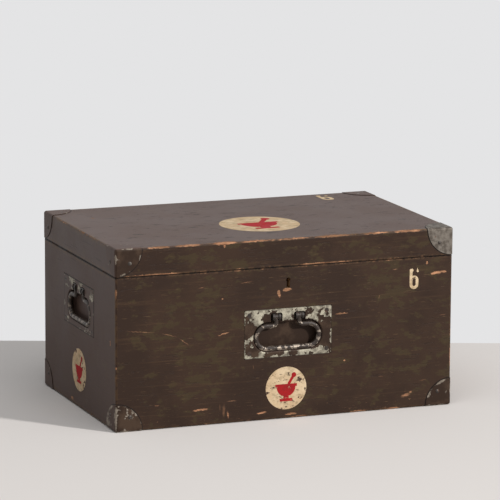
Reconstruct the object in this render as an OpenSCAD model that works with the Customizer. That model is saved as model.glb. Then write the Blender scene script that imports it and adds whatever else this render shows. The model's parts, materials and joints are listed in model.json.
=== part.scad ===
// Wooden field-medicine chest with a hinged lid, steel corner caps and three drop handles.
// The case stands on its corner caps. Front is -Y, up is +Z, and the origin is the centre of
// the footprint of the whole object, hinge barrels and handles included.

/* [Case] */
// Outside width of the wooden case
case_w = 618; // [560:1:700]
// Outside depth of the wooden case
case_d = 388; // [350:1:440]
// Outside height of the wooden case with its lid shut
case_h = 314; // [290:1:350]
// Height of the lid, its top panel included
lid_h = 48; // [44:1:60]
// Thickness of the case boards and of the lid rails
board_t = 18; // [17:0.5:22]
// Thickness of the panel on top of the lid
lid_panel_t = 12; // [8:0.5:16]
// Thickness of the bottom panel
floor_t = 12; // [8:0.5:16]
// How far the bottom panel is let into the boards
floor_rebate = 8; // [4:0.5:12]
// Radius worn on the outer edges
edge_r = 3.5; // [2:0.5:5]
// Gap between the shut lid and the case
seam_gap = 1; // [0.8:0.1:2]
// Number of finger joints up each corner of the case
case_fingers = 9; // [5:2:13]
// Number of finger joints up each corner of the lid
lid_fingers = 3; // [3:2:5]

/* [Corner caps] */
// Reach of a cap along each edge
cap_reach = 46; // [40:1:48]
// Thickness of the cap sheet
cap_t = 1; // [0.6:0.1:1.5]
// Distance of a cap nail from both edges
cap_nail_in = 25; // [18:1:28]
// Diameter of a cap nail's head
cap_nail_head_d = 7; // [5:0.5:9]
// Diameter of a cap nail's shank
cap_nail_d = 2.6; // [2:0.1:3.5]
// Length of a cap nail under its head
cap_nail_l = 14; // [10:0.5:16]

/* [Handles] */
// Width of a handle plate
plate_w = 160; // [150:1:180]
// Height of a handle plate
plate_h = 84; // [80:1:100]
// Thickness of a handle plate and its pressed dish
plate_t = 1.5; // [1:0.1:1.8]
// How far a handle plate stands proud of the board
plate_proud = 0.3; // [0.1:0.1:0.8]
// Clearance around a let-in plate
plate_gap = 0.4; // [0.2:0.1:0.8]
// Depth of the pressed dish
dish_depth = 13.5; // [10:0.5:14]
// Length of the dish opening, rim included
dish_l = 131; // [126:1:138]
// Height of the dish opening, rim included
dish_w = 56; // [54:1:60]
// How far the dish centre lies below the plate centre
dish_drop = 6.5; // [4:0.5:8]
// Radius of the dish rim
dish_rim_r = 2.2; // [2:0.1:2.6]
// Radius where the dish wall turns into its floor
dish_fillet_r = 8; // [5:0.5:9]
// Diameter of the bail wire
bail_d = 8.5; // [7:0.5:9]
// Width of the bail between the middles of its ends
bail_w = 115.5; // [108:0.5:116]
// Height of the bail between the middles of its bars
bail_h = 39.5; // [36:0.5:40]
// How far the middle of the hanging bail lies below the middle of the dish
bail_drop = 1; // [0:0.1:1.2]
// How far the wire's middle and the pivots lie behind the plate's outer face
bail_sink = 3.3; // [2.8:0.1:4]
// Height of the pivots over the middle of the bail's upper bars
bail_riser = 15.5; // [14:0.5:17]
// Radius of the bend at the foot of a riser
bail_bend_r = 6; // [5:0.5:7]
// Distance between the two bail eyes
eye_span = 42.4; // [38:0.2:48]
// Diameter of a bail eye
eye_d = 10.4; // [9.6:0.2:10.6]
// Width of a bail eye, filed flat between the lug's cheeks
eye_w = 6.4; // [5:0.2:7]
// Gap between a bail eye and the floor of its trough
eye_lift = 0.6; // [0.4:0.1:1]
// Width of the trough that each pair of lug cheeks stands in
trough_w = 21.5; // [18:0.5:24]
// Gap between a lug and the top end of its trough
trough_gap = 0.8; // [0.5:0.1:1.5]
// Radius of the corners at the top end of a trough
trough_corner_r = 4; // [2:0.5:6]
// Diameter of the pivot bar in a lug
lug_bar_d = 4.6; // [4:0.1:5]
// Radial clearance of an eye on its bar
eye_clear = 0.08; // [0.05:0.01:0.1]
// Thickness of a lug cheek
lug_cheek_t = 3.8; // [1.4:0.1:4.5]
// Thickness of the hood over an eye
hood_t = 0.9; // [0.7:0.1:1.1]
// Gap between an eye and the hood
hood_gap = 0.5; // [0.4:0.1:0.6]
// Side clearance between a bail eye and the lug cheeks
lug_side_gap = 0.4; // [0.3:0.1:0.8]
// Distance of a plate screw from the plate's side edge
plate_screw_in_w = 9; // [8:0.5:12]
// Distance of a plate screw from the plate's top or bottom edge
plate_screw_in_h = 8.5; // [8:0.5:10]
// Sideways place of the front handle and the keyhole
front_fittings_x = 3; // [-10:1:10]
// Height of the front handle's plate centre over the case bottom
front_handle_z = 151; // [120:1:170]
// Height of the end handles' plate centres over the case bottom
end_handle_z = 182; // [150:1:190]

/* [Wood screws] */
// Diameter of a wood screw's head
screw_head_d = 8; // [7:0.5:9]
// Diameter of a wood screw's shank
screw_d = 4; // [3:0.5:5]
// Length of a wood screw, head included
screw_l = 14; // [10:0.5:16]

/* [Lock] */
// Height of the keyhole's round end below the case rim
keyhole_drop = 23; // [20:0.5:26]
// Diameter of the keyhole's round end
keyhole_d = 8.5; // [7:0.5:10]
// Width of the keyhole's slot
keyhole_slot_w = 6.4; // [5.6:0.2:7]
// Length of the slot below the round end's centre
keyhole_slot_l = 14; // [10:0.5:16]
// Thickness of the lock's sheet
lock_t = 1.6; // [1.2:0.1:2]
// Depth of the lock case from the board
lock_case_d = 15.5; // [15:0.5:18]
// Diameter of the lock bolt
bolt_d = 5.6; // [5:0.1:6]
// Travel of the lock bolt
bolt_travel = 12; // [9:0.5:14]

/* [Hinges] */
// Distance of each hinge's middle from the case's end
hinge_in = 109; // [80:1:150]
// Length of a hinge along its pin
hinge_l = 70; // [50:1:90]
// Height of a hinge leaf from the pin to its edge
hinge_leaf_h = 30; // [26:1:31]
// Thickness of a hinge leaf
hinge_leaf_t = 2.5; // [2:0.1:3]
// Radius of the hinge barrel
barrel_r = 4.5; // [4:0.1:5]
// Radius of the hinge pin
hinge_pin_r = 2.4; // [2:0.1:2.8]
// Radial clearance of the lid's knuckles on the pin
pin_clear = 0.08; // [0.05:0.01:0.1]
// Gap between neighbouring knuckles
knuckle_gap = 0.3; // [0.2:0.1:0.5]
// Number of knuckles in a hinge
knuckles = 5; // [3:2:7]

/* [Lid stay] */
// Angle at which the stay stops the lid
lid_open = 97; // [80:1:105]
// Distance of both stay pivots from the hinge pin
stay_r = 130; // [115:1:138]
// Angle of the lid pivot above the seam, seen from the hinge pin
stay_up = 6; // [5:0.5:7]
// Angle of the case stud below the seam, seen from the hinge pin
stay_down = 14; // [12:0.5:18]
// Width of the stay bar
stay_w = 16; // [14:0.5:20]
// Thickness of the stay bar
stay_t = 2; // [1.5:0.1:3]
// Diameter of the stay's stud and pivot shanks
stud_d = 6; // [5:0.5:7]
// Radial clearance of the lid pivot in the bar
pivot_clear = 0.08; // [0.05:0.01:0.1]
// Clearance of the case stud on each side of the bar's slot
slot_clear = 0.5; // [0.4:0.05:0.8]
// Clearance of the bar between a collar and a head
stay_side_gap = 0.4; // [0.3:0.1:0.8]
// Diameter of the collars and heads on both shanks
stud_head_d = 12; // [10:0.5:14]
// Length of the collar that holds the bar off the wood
collar_l = 3; // [2.5:0.5:4]

/* [Painted marks] */
// Thickness of a painted mark
paint_t = 0.15; // [0.1:0.05:0.3]
// Diameter of the discs on the front and the ends
small_disc_d = 75; // [60:1:80]
// Diameter of the disc on the lid
lid_disc_d = 141; // [110:1:150]
// Height of the front disc's centre over the case bottom
front_disc_z = 53; // [48:1:56]
// Height of the end discs' centres over the case bottom
end_disc_z = 67; // [50:1:80]
// How far the lid's disc lies in front of the lid's middle
lid_disc_y = 51; // [30:1:70]
// Sideways place of the lid's disc
lid_disc_x = 5; // [0:1:20]
// Height of the painted figure on the front
figure_h = 36; // [24:1:44]
// Distance of the front figure's middle from the case's right side
figure_in = 72; // [60:1:100]
// Distance of the front figure's top below the case rim
figure_drop = 19; // [14:1:30]
// Height of the painted figure on the lid
lid_figure_h = 47; // [30:1:60]
// Distance of the lid figure's middle from the case's right side
lid_figure_in = 96; // [70:1:120]
// Distance of the lid figure's middle from the case's back
lid_figure_back = 40; // [40:1:80]

/* [Hidden] */
$fn = 48;

// Overlap of a cutter past the face it opens
past = 1;

// Depth of the case between the lugs in front and the hinge barrels behind
pivot_lift = eye_d / 2 + eye_lift;
pivot_z = plate_proud - bail_sink;
lug_r = eye_d / 2 + hood_gap + hood_t;
lug_out = pivot_z + lug_r;
barrel_gap = 0.4;
mortise_gap = 0.2;
pin_head_w = 1;
pin_head_t = 1.2;
hinge_out = barrel_r + barrel_gap;
case_y = (max(lug_out, cap_t) - (hinge_out + barrel_r)) / 2;
front_y = case_y - case_d / 2;
back_y = case_y + case_d / 2;
inner_front_y = front_y + board_t;
inner_x = case_w / 2 - board_t;

case_top = case_h - lid_h - seam_gap;
lid_bottom = case_h - lid_h;
seam_z = (case_top + lid_bottom) / 2;
rail_h = lid_h - lid_panel_t;

keyhole_z = case_top - keyhole_drop;

dish_end_r = dish_w / 2 - dish_rim_r;
dish_half = dish_l / 2 - dish_w / 2;
pocket_gap = 0.5;
plate_corner = 3;
hood_slack = 0.45;
pocket_depth = dish_depth + plate_t - plate_proud + pocket_gap;
eye_r = eye_d / 2;
bail_end_r = bail_h / 2;
bail_half = bail_w / 2 - bail_end_r;
bail_low = -dish_drop - bail_drop - bail_h / 2;
bail_high = bail_low + bail_h;
pivot_v = bail_high + bail_riser;
lug_gap = eye_w + 2 * lug_side_gap;
lug_w = lug_gap + 2 * lug_cheek_t;
trough_low = -dish_drop + dish_w / 4;
trough_high = pivot_v + lug_r + trough_gap;
trough_depth = bail_sink + pivot_lift;

// Lock: measures from the rim of the case downwards and from the board's inner face inwards
link_t = 4;
link_gap = 0.9;
link_near = lock_t + link_gap;
link_far = lock_case_d - lock_t - link_gap;
bolt_y = (link_near + link_far) / 2;
bolt_drop = 9.5;
bolt_clear = 0.08;
link_hole_gap = 0.5;
link_hole_r = bolt_d / 2 + link_hole_gap;
link_wall = 2;
link_slot_gap = 1.5;
bolt_tip_gap = 1.5;
guide_gap = 4;
guide_l = 12;
guide_wall = 2.4;
guide_lift = 0.5;
guide_in = link_t / 2 + guide_gap;
guide_out = guide_in + guide_l;
talon_w = 4;
talon_t = 3;
talon_drop = 7.5;
talon_gap = 0.6;
tail_gap = 1.5;
lock_half = guide_out + bolt_travel + talon_gap + talon_w + tail_gap + lock_t;
lock_flange = 10;
lock_rim = 1.5;
lock_top = 2;
keyhole_margin = 5;
lock_bottom = keyhole_drop + keyhole_slot_l + keyhole_margin;
lock_screw_in = 7;
key_post_d = 4;
key_post_gap = 3;
key_post_in = lock_t + key_post_gap;
staple_plate_t = 2;
staple_half = 16;
staple_low = 2;
staple_high = 30;
staple_screw_x = 10;
staple_screw_low = 8;
staple_screw_high = 24;

// Hinge places, hinge axis and stay pivots in the YZ plane
hinge_x = case_w / 2 - hinge_in;
axis_y = back_y + hinge_out;
axis_z = seam_z;
stay_lid_y = axis_y - stay_r * cos(stay_up);
stay_lid_z = axis_z + stay_r * sin(stay_up);
stay_case_y = axis_y - stay_r * cos(stay_down);
stay_case_z = axis_z - stay_r * sin(stay_down);
stay_shut = 2 * stay_r * sin((stay_up + stay_down) / 2);
stay_far = 2 * stay_r * sin((stay_up + stay_down + lid_open) / 2);
stay_tilt = (stay_down - stay_up) / 2;
stud_head_t = 2;
stud_depth = 12;

brown = "#43332a";
bare_wood = "#b98a5a";
steel = "#77756c";
dark_steel = "#3c332d";
cream = "#d9c6a3";
red = "#a8292b";

// Moves children, drawn on the case bottom as z = 0, onto the corner caps' thickness
module on_caps() {
    translate([0, 0, cap_t]) children();
}

// A box from one corner to the other
module span(a, b) {
    translate(a) cube(b - a);
}

// A flat figure of a square with two half circles at its ends
module stadium(half, r) {
    square([2 * half, 2 * r], center = true);
    for (side = [-1, 1]) translate([side * half, 0]) circle(r);
}

// A box with all its edges rounded, standing on z = 0 about the case's middle
module rounded_case(size, r) {
    x = size.x / 2 - r;
    y = size.y / 2 - r;
    translate([0, case_y, 0]) {
        span([-x, -y, 0], [x, y, size.z]);
        span([-x - r, -y, r], [x + r, y, size.z - r]);
        span([-x, -y - r, r], [x, y + r, size.z - r]);
        for (sx = [-1, 1], sy = [-1, 1]) translate([sx * x, sy * y, r]) cylinder(r = r, h = size.z - 2 * r);
        for (z = [r, size.z - r]) {
            for (sy = [-1, 1]) translate([-x, sy * y, z]) rotate([0, 90, 0]) cylinder(r = r, h = 2 * x);
            for (sx = [-1, 1]) translate([sx * x, -y, z]) rotate([-90, 0, 0]) cylinder(r = r, h = 2 * y);
            for (sx = [-1, 1], sy = [-1, 1]) translate([sx * x, sy * y, z]) sphere(r);
        }
    }
}

// Countersunk wood screw: its head's face is at z = 0 and its shank points to -Z
module wood_screw() {
    head_h = (screw_head_d - screw_d) / 2;
    difference() {
        union() {
            translate([0, 0, -head_h]) cylinder(d1 = screw_d, d2 = screw_head_d, h = head_h);
            translate([0, 0, -screw_l]) cylinder(d = screw_d, h = screw_l - head_h);
        }
        translate([0, 0, past - 0.8]) cube([screw_head_d + past, 1.1, 2 * past], center = true);
    }
}

// The space that a wood screw takes
module wood_screw_hole() {
    head_h = (screw_head_d - screw_d) / 2;
    translate([0, 0, -head_h]) cylinder(d1 = screw_d, d2 = screw_head_d, h = head_h);
    translate([0, 0, -screw_l]) cylinder(d = screw_d, h = screw_l - head_h);
}

// Round-headed nail: the underside of its head is at z = 0
module cap_nail() {
    dome = cap_nail_head_d / 5;
    rotate_extrude() intersection() {
        translate([0, dome - cap_nail_head_d * 0.75]) circle(cap_nail_head_d * 0.75);
        square([cap_nail_head_d / 2, dome + past]);
    }
    translate([0, 0, -cap_nail_l]) cylinder(d = cap_nail_d, h = cap_nail_l);
}

// Flat-headed panel nail with its head at z = 0
panel_nail_head_d = 5;
panel_nail_head_h = 1;
panel_nail_d = 2.4;
panel_nail_l = 26;
module panel_nail() {
    translate([0, 0, -panel_nail_head_h]) cylinder(d = panel_nail_head_d, h = panel_nail_head_h);
    translate([0, 0, -panel_nail_l]) cylinder(d = panel_nail_d, h = panel_nail_l - panel_nail_head_h);
}

// The spans that one board gives up to its neighbour at a corner with finger joints
module fingers(low, high, count, first) {
    step = (high - low) / count;
    for (i = [first:2:count - 1])
        translate([0, 0, low + i * step]) linear_extrude(step) children();
}

// Corner squares of the case in plan
module corner_squares() {
    for (sx = [-1, 1], y = [front_y + board_t / 2, back_y - board_t / 2])
        translate([sx * (inner_x + board_t / 2), y]) square(board_t, center = true);
}

// The wooden block with rounded outer edges that all boards are cut from
module wood_body(low, high) {
    intersection() {
        rounded_case([case_w, case_d, case_h], edge_r);
        span([-case_w, front_y - past, low], [case_w, back_y + past, high]);
    }
}

// A front or back board between two heights, its fingers counted from the bottom
module long_board(y0, low, high, count) {
    difference() {
        intersection() {
            wood_body(low, high);
            span([-case_w, y0, low - past], [case_w, y0 + board_t, high + past]);
        }
        fingers(low, high, count, 1) corner_squares();
    }
}

// A left or right board between two heights
module end_board(x0, low, high, count) {
    difference() {
        intersection() {
            wood_body(low, high);
            span([x0, front_y - past, low - past], [x0 + board_t, back_y + past, high + past]);
        }
        fingers(low, high, count, 0) corner_squares();
    }
}

// The space of the bottom panel, let into all four boards
module bottom_space(gap) {
    x = inner_x + floor_rebate + gap;
    span([-x, inner_front_y - floor_rebate - gap, -past], [x, back_y - board_t + floor_rebate + gap, floor_t]);
}

// Places of the nails along the edge of a panel, as [x, y]
function edge_nails(x, y0, y1, nx, ny) = concat(
    [for (i = [0:nx - 1], y = [y0, y1]) [-x * 0.78 + i * 1.56 * x / (nx - 1), y]],
    [for (i = [0:ny - 1], sx = [-1, 1]) [sx * x, y0 + (y1 - y0) * (i + 1) / (ny + 1)]]
);
floor_nail_in = board_t - floor_rebate / 2;
floor_nail_spots = edge_nails(case_w / 2 - floor_nail_in, front_y + floor_nail_in, back_y - floor_nail_in, 5, 2);
lid_nail_spots = edge_nails(case_w / 2 - board_t / 2, front_y + board_t / 2, back_y - board_t / 2, 5, 2);

// Holes of the nails that hold the bottom panel
module floor_nails() {
    for (p = floor_nail_spots) translate([p.x, p.y, 0]) rotate([180, 0, 0]) children();
}

// Nails that hold the panel on top of the lid
module lid_nails() {
    for (p = lid_nail_spots) translate([p.x, p.y, case_h]) children();
}

// Moves children from a corner with its edges towards +X, +Y and +Z to one corner of the case
module at_corner(right, back, top) {
    translate([right ? case_w / 2 : -case_w / 2, back ? back_y : front_y, top ? case_h : 0])
        mirror([right ? 1 : 0, 0, 0]) mirror([0, back ? 1 : 0, 0]) mirror([0, 0, top ? 1 : 0]) children();
}

// A block with three rounded edges that meet at the origin's corner
module corner_block(s, r) {
    span([r, r, 0], [s, s, s]);
    span([r, 0, r], [s, s, s]);
    span([0, r, r], [s, s, s]);
    translate([r, r, r]) {
        cylinder(r = r, h = s - r);
        rotate([0, 90, 0]) cylinder(r = r, h = s - r);
        rotate([-90, 0, 0]) cylinder(r = r, h = s - r);
        sphere(r);
    }
}

// Nail spots of one cap, drawn at its own corner: two domed nails at the sides and a flush one
module cap_side_nails() {
    translate([cap_nail_in, -cap_t, cap_nail_in]) rotate([90, 0, 0]) children();
    translate([-cap_t, cap_nail_in, cap_nail_in]) rotate([0, -90, 0]) children();
}
flush_nail_l = 10;
module cap_flush_nail() {
    translate([cap_nail_in, cap_nail_in, -cap_t]) rotate([180, 0, 0]) {
        translate([0, 0, -cap_t]) cylinder(d = panel_nail_head_d, h = cap_t);
        translate([0, 0, -flush_nail_l]) cylinder(d = cap_nail_d, h = flush_nail_l - cap_t);
    }
}
module cap_nail_shank() {
    translate([0, 0, -cap_nail_l]) cylinder(d = cap_nail_d, h = cap_nail_l);
}

// Pressed corner cap with three faces, cut round on a sphere about the corner
module cap() {
    s = cap_reach + cap_t + past;
    difference() {
        intersection() {
            translate([-cap_t, -cap_t, -cap_t]) corner_block(s, edge_r + cap_t);
            sphere(cap_reach + cap_t);
        }
        corner_block(2 * s, edge_r);
        cap_side_nails() cap_nail_shank();
        cap_flush_nail();
    }
}

// All nail holes of the caps, to be cut out of the boards
module cap_nail_holes(top) {
    for (right = [false, true], back = [false, true]) at_corner(right, back, top) {
        cap_side_nails() cap_nail_shank();
        cap_flush_nail();
    }
}

// Handle places. In them X runs along the plate, Y up and Z out of the board, from the plate's
// centre on the board's face
module on_front_plate() {
    translate([front_fittings_x, front_y, front_handle_z]) rotate([90, 0, 0]) children();
}
module on_left_plate() {
    translate([-case_w / 2, case_y, end_handle_z]) rotate([90, 0, -90]) children();
}
module on_right_plate() {
    translate([case_w / 2, case_y, end_handle_z]) rotate([90, 0, 90]) children();
}

// Places of a plate's four screws, on the plate's outer face
module plate_screw_spots() {
    for (su = [-1, 1], sv = [-1, 1])
        translate([su * (plate_w / 2 - plate_screw_in_w), sv * (plate_h / 2 - plate_screw_in_h), plate_proud])
            children();
}

// The pocket in a board for a plate, its dish and its screws
module plate_pocket() {
    depth = plate_t - plate_proud;
    translate([0, 0, -depth]) linear_extrude(depth + past)
        square([plate_w + 2 * plate_gap, plate_h + 2 * plate_gap], center = true);
    translate([0, -dish_drop, -pocket_depth]) linear_extrude(pocket_depth)
        stadium(dish_half, dish_w / 2 + pocket_gap);
    lug_troughs(plate_t + pocket_gap, 0);
    plate_screw_spots() wood_screw_hole();
}

// Turns a half profile into a long round-ended shape along X
module long_round() {
    for (side = [-1, 1]) translate([side * dish_half, 0, 0]) rotate([0, 0, -90 * side]) rotate_extrude(angle = 180) children();
    for (side = [-1, 1]) translate([-side * dish_half, 0, 0]) rotate([90, 0, side * 90])
        linear_extrude(2 * dish_half) children();
}

// Half profile of the dish's hollow, with the plate's outer face at Y = 0
module dish_hollow_profile() {
    difference() {
        translate([0, -dish_rim_r]) square([dish_w / 2, dish_rim_r + past]);
        translate([dish_w / 2, -dish_rim_r]) circle(dish_rim_r);
    }
    translate([0, -dish_depth + dish_fillet_r])
        square([dish_end_r, dish_depth - dish_fillet_r - dish_rim_r / 2]);
    translate([0, -dish_depth]) square([dish_end_r - dish_fillet_r, dish_fillet_r + past / 2]);
    intersection() {
        translate([dish_end_r - dish_fillet_r, -dish_depth + dish_fillet_r]) circle(dish_fillet_r);
        translate([0, -dish_depth]) square([dish_end_r, dish_depth]);
    }
}

// Half profile of the dish's outside
module dish_shell_profile() {
    outer_r = dish_end_r + plate_t;
    difference() {
        translate([0, -dish_rim_r]) square([dish_w / 2, dish_rim_r - plate_t / 2]);
        translate([dish_w / 2, -dish_rim_r]) circle(dish_rim_r - plate_t);
    }
    translate([0, -dish_depth + dish_fillet_r])
        square([outer_r, dish_depth - dish_fillet_r - dish_rim_r]);
    translate([0, -dish_depth - plate_t])
        square([dish_end_r - dish_fillet_r, dish_fillet_r + plate_t + past / 2]);
    intersection() {
        translate([dish_end_r - dish_fillet_r, -dish_depth + dish_fillet_r]) circle(dish_fillet_r + plate_t);
        translate([0, -dish_depth - plate_t]) square([outer_r, dish_depth]);
    }
}

// The two troughs that open the dish upwards for the lugs and the bail eyes
module lug_troughs(grow, top) {
    half = trough_w / 2 + grow;
    corner = trough_corner_r + grow;
    for (side = [-1, 1]) translate([side * eye_span / 2, 0, plate_proud - trough_depth - grow])
        linear_extrude(trough_depth + grow + top) {
            translate([-half, trough_low]) square([2 * half, trough_high + grow - corner - trough_low]);
            translate([corner - half, trough_low]) square([2 * (half - corner), trough_high + grow - trough_low]);
            for (end = [-1, 1]) translate([end * (half - corner), trough_high + grow - corner]) circle(corner);
        }
}

// Handle plate with a pressed dish and two pressed troughs behind the bail
module handle_plate() {
    color(dark_steel) difference() {
        union() {
            translate([0, 0, plate_proud - plate_t]) linear_extrude(plate_t) difference() {
                square([plate_w, plate_h], center = true);
                for (su = [-1, 1], sv = [-1, 1]) translate([su * plate_w / 2, sv * plate_h / 2])
                    rotate(45) square(plate_corner, center = true);
            }
            translate([0, -dish_drop, plate_proud]) long_round() dish_shell_profile();
            lug_troughs(plate_t, 0);
        }
        translate([0, -dish_drop, plate_proud]) long_round() dish_hollow_profile();
        lug_troughs(0, past);
        plate_screw_spots() wood_screw_hole();
    }
}

// Turns a drawing of out (Y) against up (X) into a solid of a given width about the middle
module across(w) {
    rotate([90, 0, 90]) translate([0, 0, -w / 2]) linear_extrude(w) children();
}

// Side view of a lug, from the floor of its trough to a round end about the pivot
module lug_side(r) {
    intersection() {
        circle(r);
        translate([-r, -pivot_lift]) square([2 * r, pivot_lift + r]);
    }
    translate([-r, -pivot_lift]) square([2 * r, pivot_lift]);
}

// Two hooded lugs with their pivot bars
module handle_lugs() {
    color(dark_steel) for (side = [-1, 1])
        translate([side * eye_span / 2, pivot_v, pivot_z]) {
            for (cheek = [-1, 1]) translate([cheek * (lug_gap + lug_cheek_t) / 2, 0, 0])
                across(lug_cheek_t) lug_side(lug_r);
            rotate([0, 90, 0]) translate([0, 0, -lug_w / 2]) cylinder(d = lug_bar_d, h = lug_w);
            across(lug_w - lug_cheek_t) intersection() {
                difference() {
                    lug_side(lug_r);
                    lug_side(lug_r - hood_t);
                }
                translate([bail_d / 2 + hood_slack, -pivot_lift]) square([lug_r, pivot_lift + lug_r]);
            }
        }
}

// A straight piece of bail wire between two points of the bail's plane
module wire(a, b) {
    d = b - a;
    translate([a.x, a.y, 0]) rotate([0, 0, atan2(d.y, d.x)]) rotate([0, 90, 0]) cylinder(d = bail_d, h = norm(d));
}

// A quarter or half bend of bail wire, counted anticlockwise from an angle
module bend(at, r, from, turn) {
    translate([at.x, at.y, 0]) rotate([0, 0, from]) rotate_extrude(angle = turn) translate([r, 0]) circle(d = bail_d);
}

// Drop bail, hanging
module bail() {
    mid = (bail_low + bail_high) / 2;
    foot = pivot_v - bail_riser;
    x_eye = eye_span / 2;
    color(steel) translate([0, 0, pivot_z]) difference() {
        union() {
            wire([-bail_half, bail_low], [bail_half, bail_low]);
            bend([bail_half, mid], bail_end_r, -90, 180);
            bend([-bail_half, mid], bail_end_r, 90, 180);
            wire([x_eye + bail_bend_r, foot], [bail_half, foot]);
            wire([-bail_half, foot], [-x_eye - bail_bend_r, foot]);
            bend([x_eye + bail_bend_r, foot + bail_bend_r], bail_bend_r, 180, 90);
            bend([-x_eye - bail_bend_r, foot + bail_bend_r], bail_bend_r, 270, 90);
            for (side = [-1, 1]) {
                wire([side * x_eye, foot + bail_bend_r], [side * x_eye, pivot_v]);
                translate([side * x_eye - eye_w / 2, pivot_v, 0]) rotate([0, 90, 0]) cylinder(d = eye_d, h = eye_w);
            }
        }
        for (side = [-1, 1]) translate([side * x_eye, pivot_v, 0]) {
            rotate([0, 90, 0]) translate([0, 0, -bail_d]) cylinder(d = lug_bar_d + 2 * eye_clear, h = 2 * bail_d);
            for (cheek = [0, 180]) rotate([0, cheek, 0]) rotate([0, 90, 0]) translate([0, 0, eye_w / 2])
                cylinder(r = lug_r + hood_gap, h = bail_d);
        }
    }
}

// Keyhole drawn in the plane of the front board, centred on its round end
module keyhole(grow) {
    circle(d = keyhole_d + 2 * grow);
    translate([-keyhole_slot_w / 2 - grow, -keyhole_slot_l - grow]) square([keyhole_slot_w + 2 * grow, keyhole_slot_l + grow]);
}

// Lock place: the origin is in the keyhole's middle plane, on the inner face of the front board,
// at the case rim, with Y inwards
module at_lock() {
    translate([front_fittings_x, inner_front_y, case_top]) children();
}
module at_keyhole() {
    translate([0, 0, -keyhole_drop]) rotate([90, 0, 0]) children();
}
module lock_screw_spots() {
    for (sx = [-1, 1], z = [-lock_top - lock_screw_in, -lock_bottom + lock_screw_in])
        translate([sx * (lock_half + lock_flange / 2), lock_t, z]) rotate([-90, 0, 0]) children();
}
module staple_screw_spots() {
    translate([front_fittings_x, inner_front_y + staple_plate_t, lid_bottom])
        for (sx = [-1, 1], z = [staple_screw_low, staple_screw_high])
            translate([sx * staple_screw_x, 0, z]) rotate([-90, 0, 0]) children();
}

// Hinge screw places on the case's back face, for a sign of +1 (lid) or -1 (case)
module hinge_screw_spots(up) {
    for (side = [-1, 1], i = [-1, 1])
        translate([side * hinge_x + i * hinge_l * 0.34, back_y, axis_z + up * hinge_leaf_h * 0.6])
            rotate([-90, 0, 0]) children();
    for (side = [-1, 1])
        translate([side * hinge_x, back_y, axis_z + up * hinge_leaf_h * 0.72]) rotate([-90, 0, 0]) children();
}
module hinge_mortises() {
    for (side = [-1, 1])
        span([side * hinge_x - hinge_l / 2 - mortise_gap, back_y - hinge_leaf_t, axis_z - hinge_leaf_h - mortise_gap],
             [side * hinge_x + hinge_l / 2 + mortise_gap, back_y + past, axis_z + hinge_leaf_h + mortise_gap]);
}

// One leaf of a hinge, drawn at X = 0: its first knuckle and every second one after it
module hinge_leaf(up, first, bore_r) {
    step = hinge_l / knuckles;
    edge = (case_top - lid_bottom) / 2;
    difference() {
        union() {
            translate([0, back_y, axis_z]) {
                if (up > 0) span([-hinge_l / 2, -hinge_leaf_t, -edge], [hinge_l / 2, 0, hinge_leaf_h]);
                else span([-hinge_l / 2, -hinge_leaf_t, -hinge_leaf_h], [hinge_l / 2, 0, edge]);
            }
            for (i = [first:2:knuckles - 1]) {
                x0 = -hinge_l / 2 + i * step + (i == 0 ? 0 : knuckle_gap / 2);
                x1 = -hinge_l / 2 + (i + 1) * step - (i == knuckles - 1 ? 0 : knuckle_gap / 2);
                translate([x0, axis_y, axis_z]) {
                    rotate([0, 90, 0]) cylinder(r = barrel_r, h = x1 - x0);
                    if (up > 0) span([0, -hinge_out - hinge_leaf_t, -edge], [x1 - x0, 0, barrel_r]);
                    else span([0, -hinge_out - hinge_leaf_t, -barrel_r], [x1 - x0, 0, edge]);
                }
            }
        }
        translate([-hinge_l, axis_y, axis_z]) rotate([0, 90, 0]) cylinder(r = bore_r, h = 2 * hinge_l);
    }
}
module hinge_case_leaf(side) {
    color(dark_steel) difference() {
        translate([side * hinge_x, 0, 0]) hinge_leaf(-1, 0, hinge_pin_r);
        hinge_screw_spots(-1) wood_screw_hole();
    }
}
module hinge_lid_leaf(side) {
    color(dark_steel) difference() {
        translate([side * hinge_x, 0, 0]) hinge_leaf(1, 1, hinge_pin_r + pin_clear);
        hinge_screw_spots(1) wood_screw_hole();
    }
}
module hinge_pin(side) {
    color(steel) translate([side * hinge_x, axis_y, axis_z]) rotate([0, 90, 0]) {
        translate([0, 0, -hinge_l / 2]) cylinder(r = hinge_pin_r, h = hinge_l);
        for (end = [-1, 1]) translate([0, 0, end * (hinge_l + pin_head_t) / 2])
            cylinder(r = hinge_pin_r + pin_head_w, h = pin_head_t, center = true);
    }
}

// Turned shank with a collar on the wood and a head, pointing from the right wall to -X
module stay_shank(gap_t) {
    rotate([0, -90, 0]) {
        translate([0, 0, -stud_depth]) cylinder(d = stud_d, h = stud_depth + collar_l + gap_t + stud_head_t);
        cylinder(d = stud_head_d, h = collar_l);
        translate([0, 0, collar_l + gap_t]) cylinder(d = stud_head_d, h = stud_head_t);
    }
}
stay_space = stay_t + 2 * stay_side_gap;
module at_stay_lid() {
    translate([inner_x, stay_lid_y, stay_lid_z]) children();
}
module at_stay_case() {
    translate([inner_x, stay_case_y, stay_case_z]) children();
}
module stay_hole() {
    rotate([0, 90, 0]) cylinder(d = stud_d, h = stud_depth);
}

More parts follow.
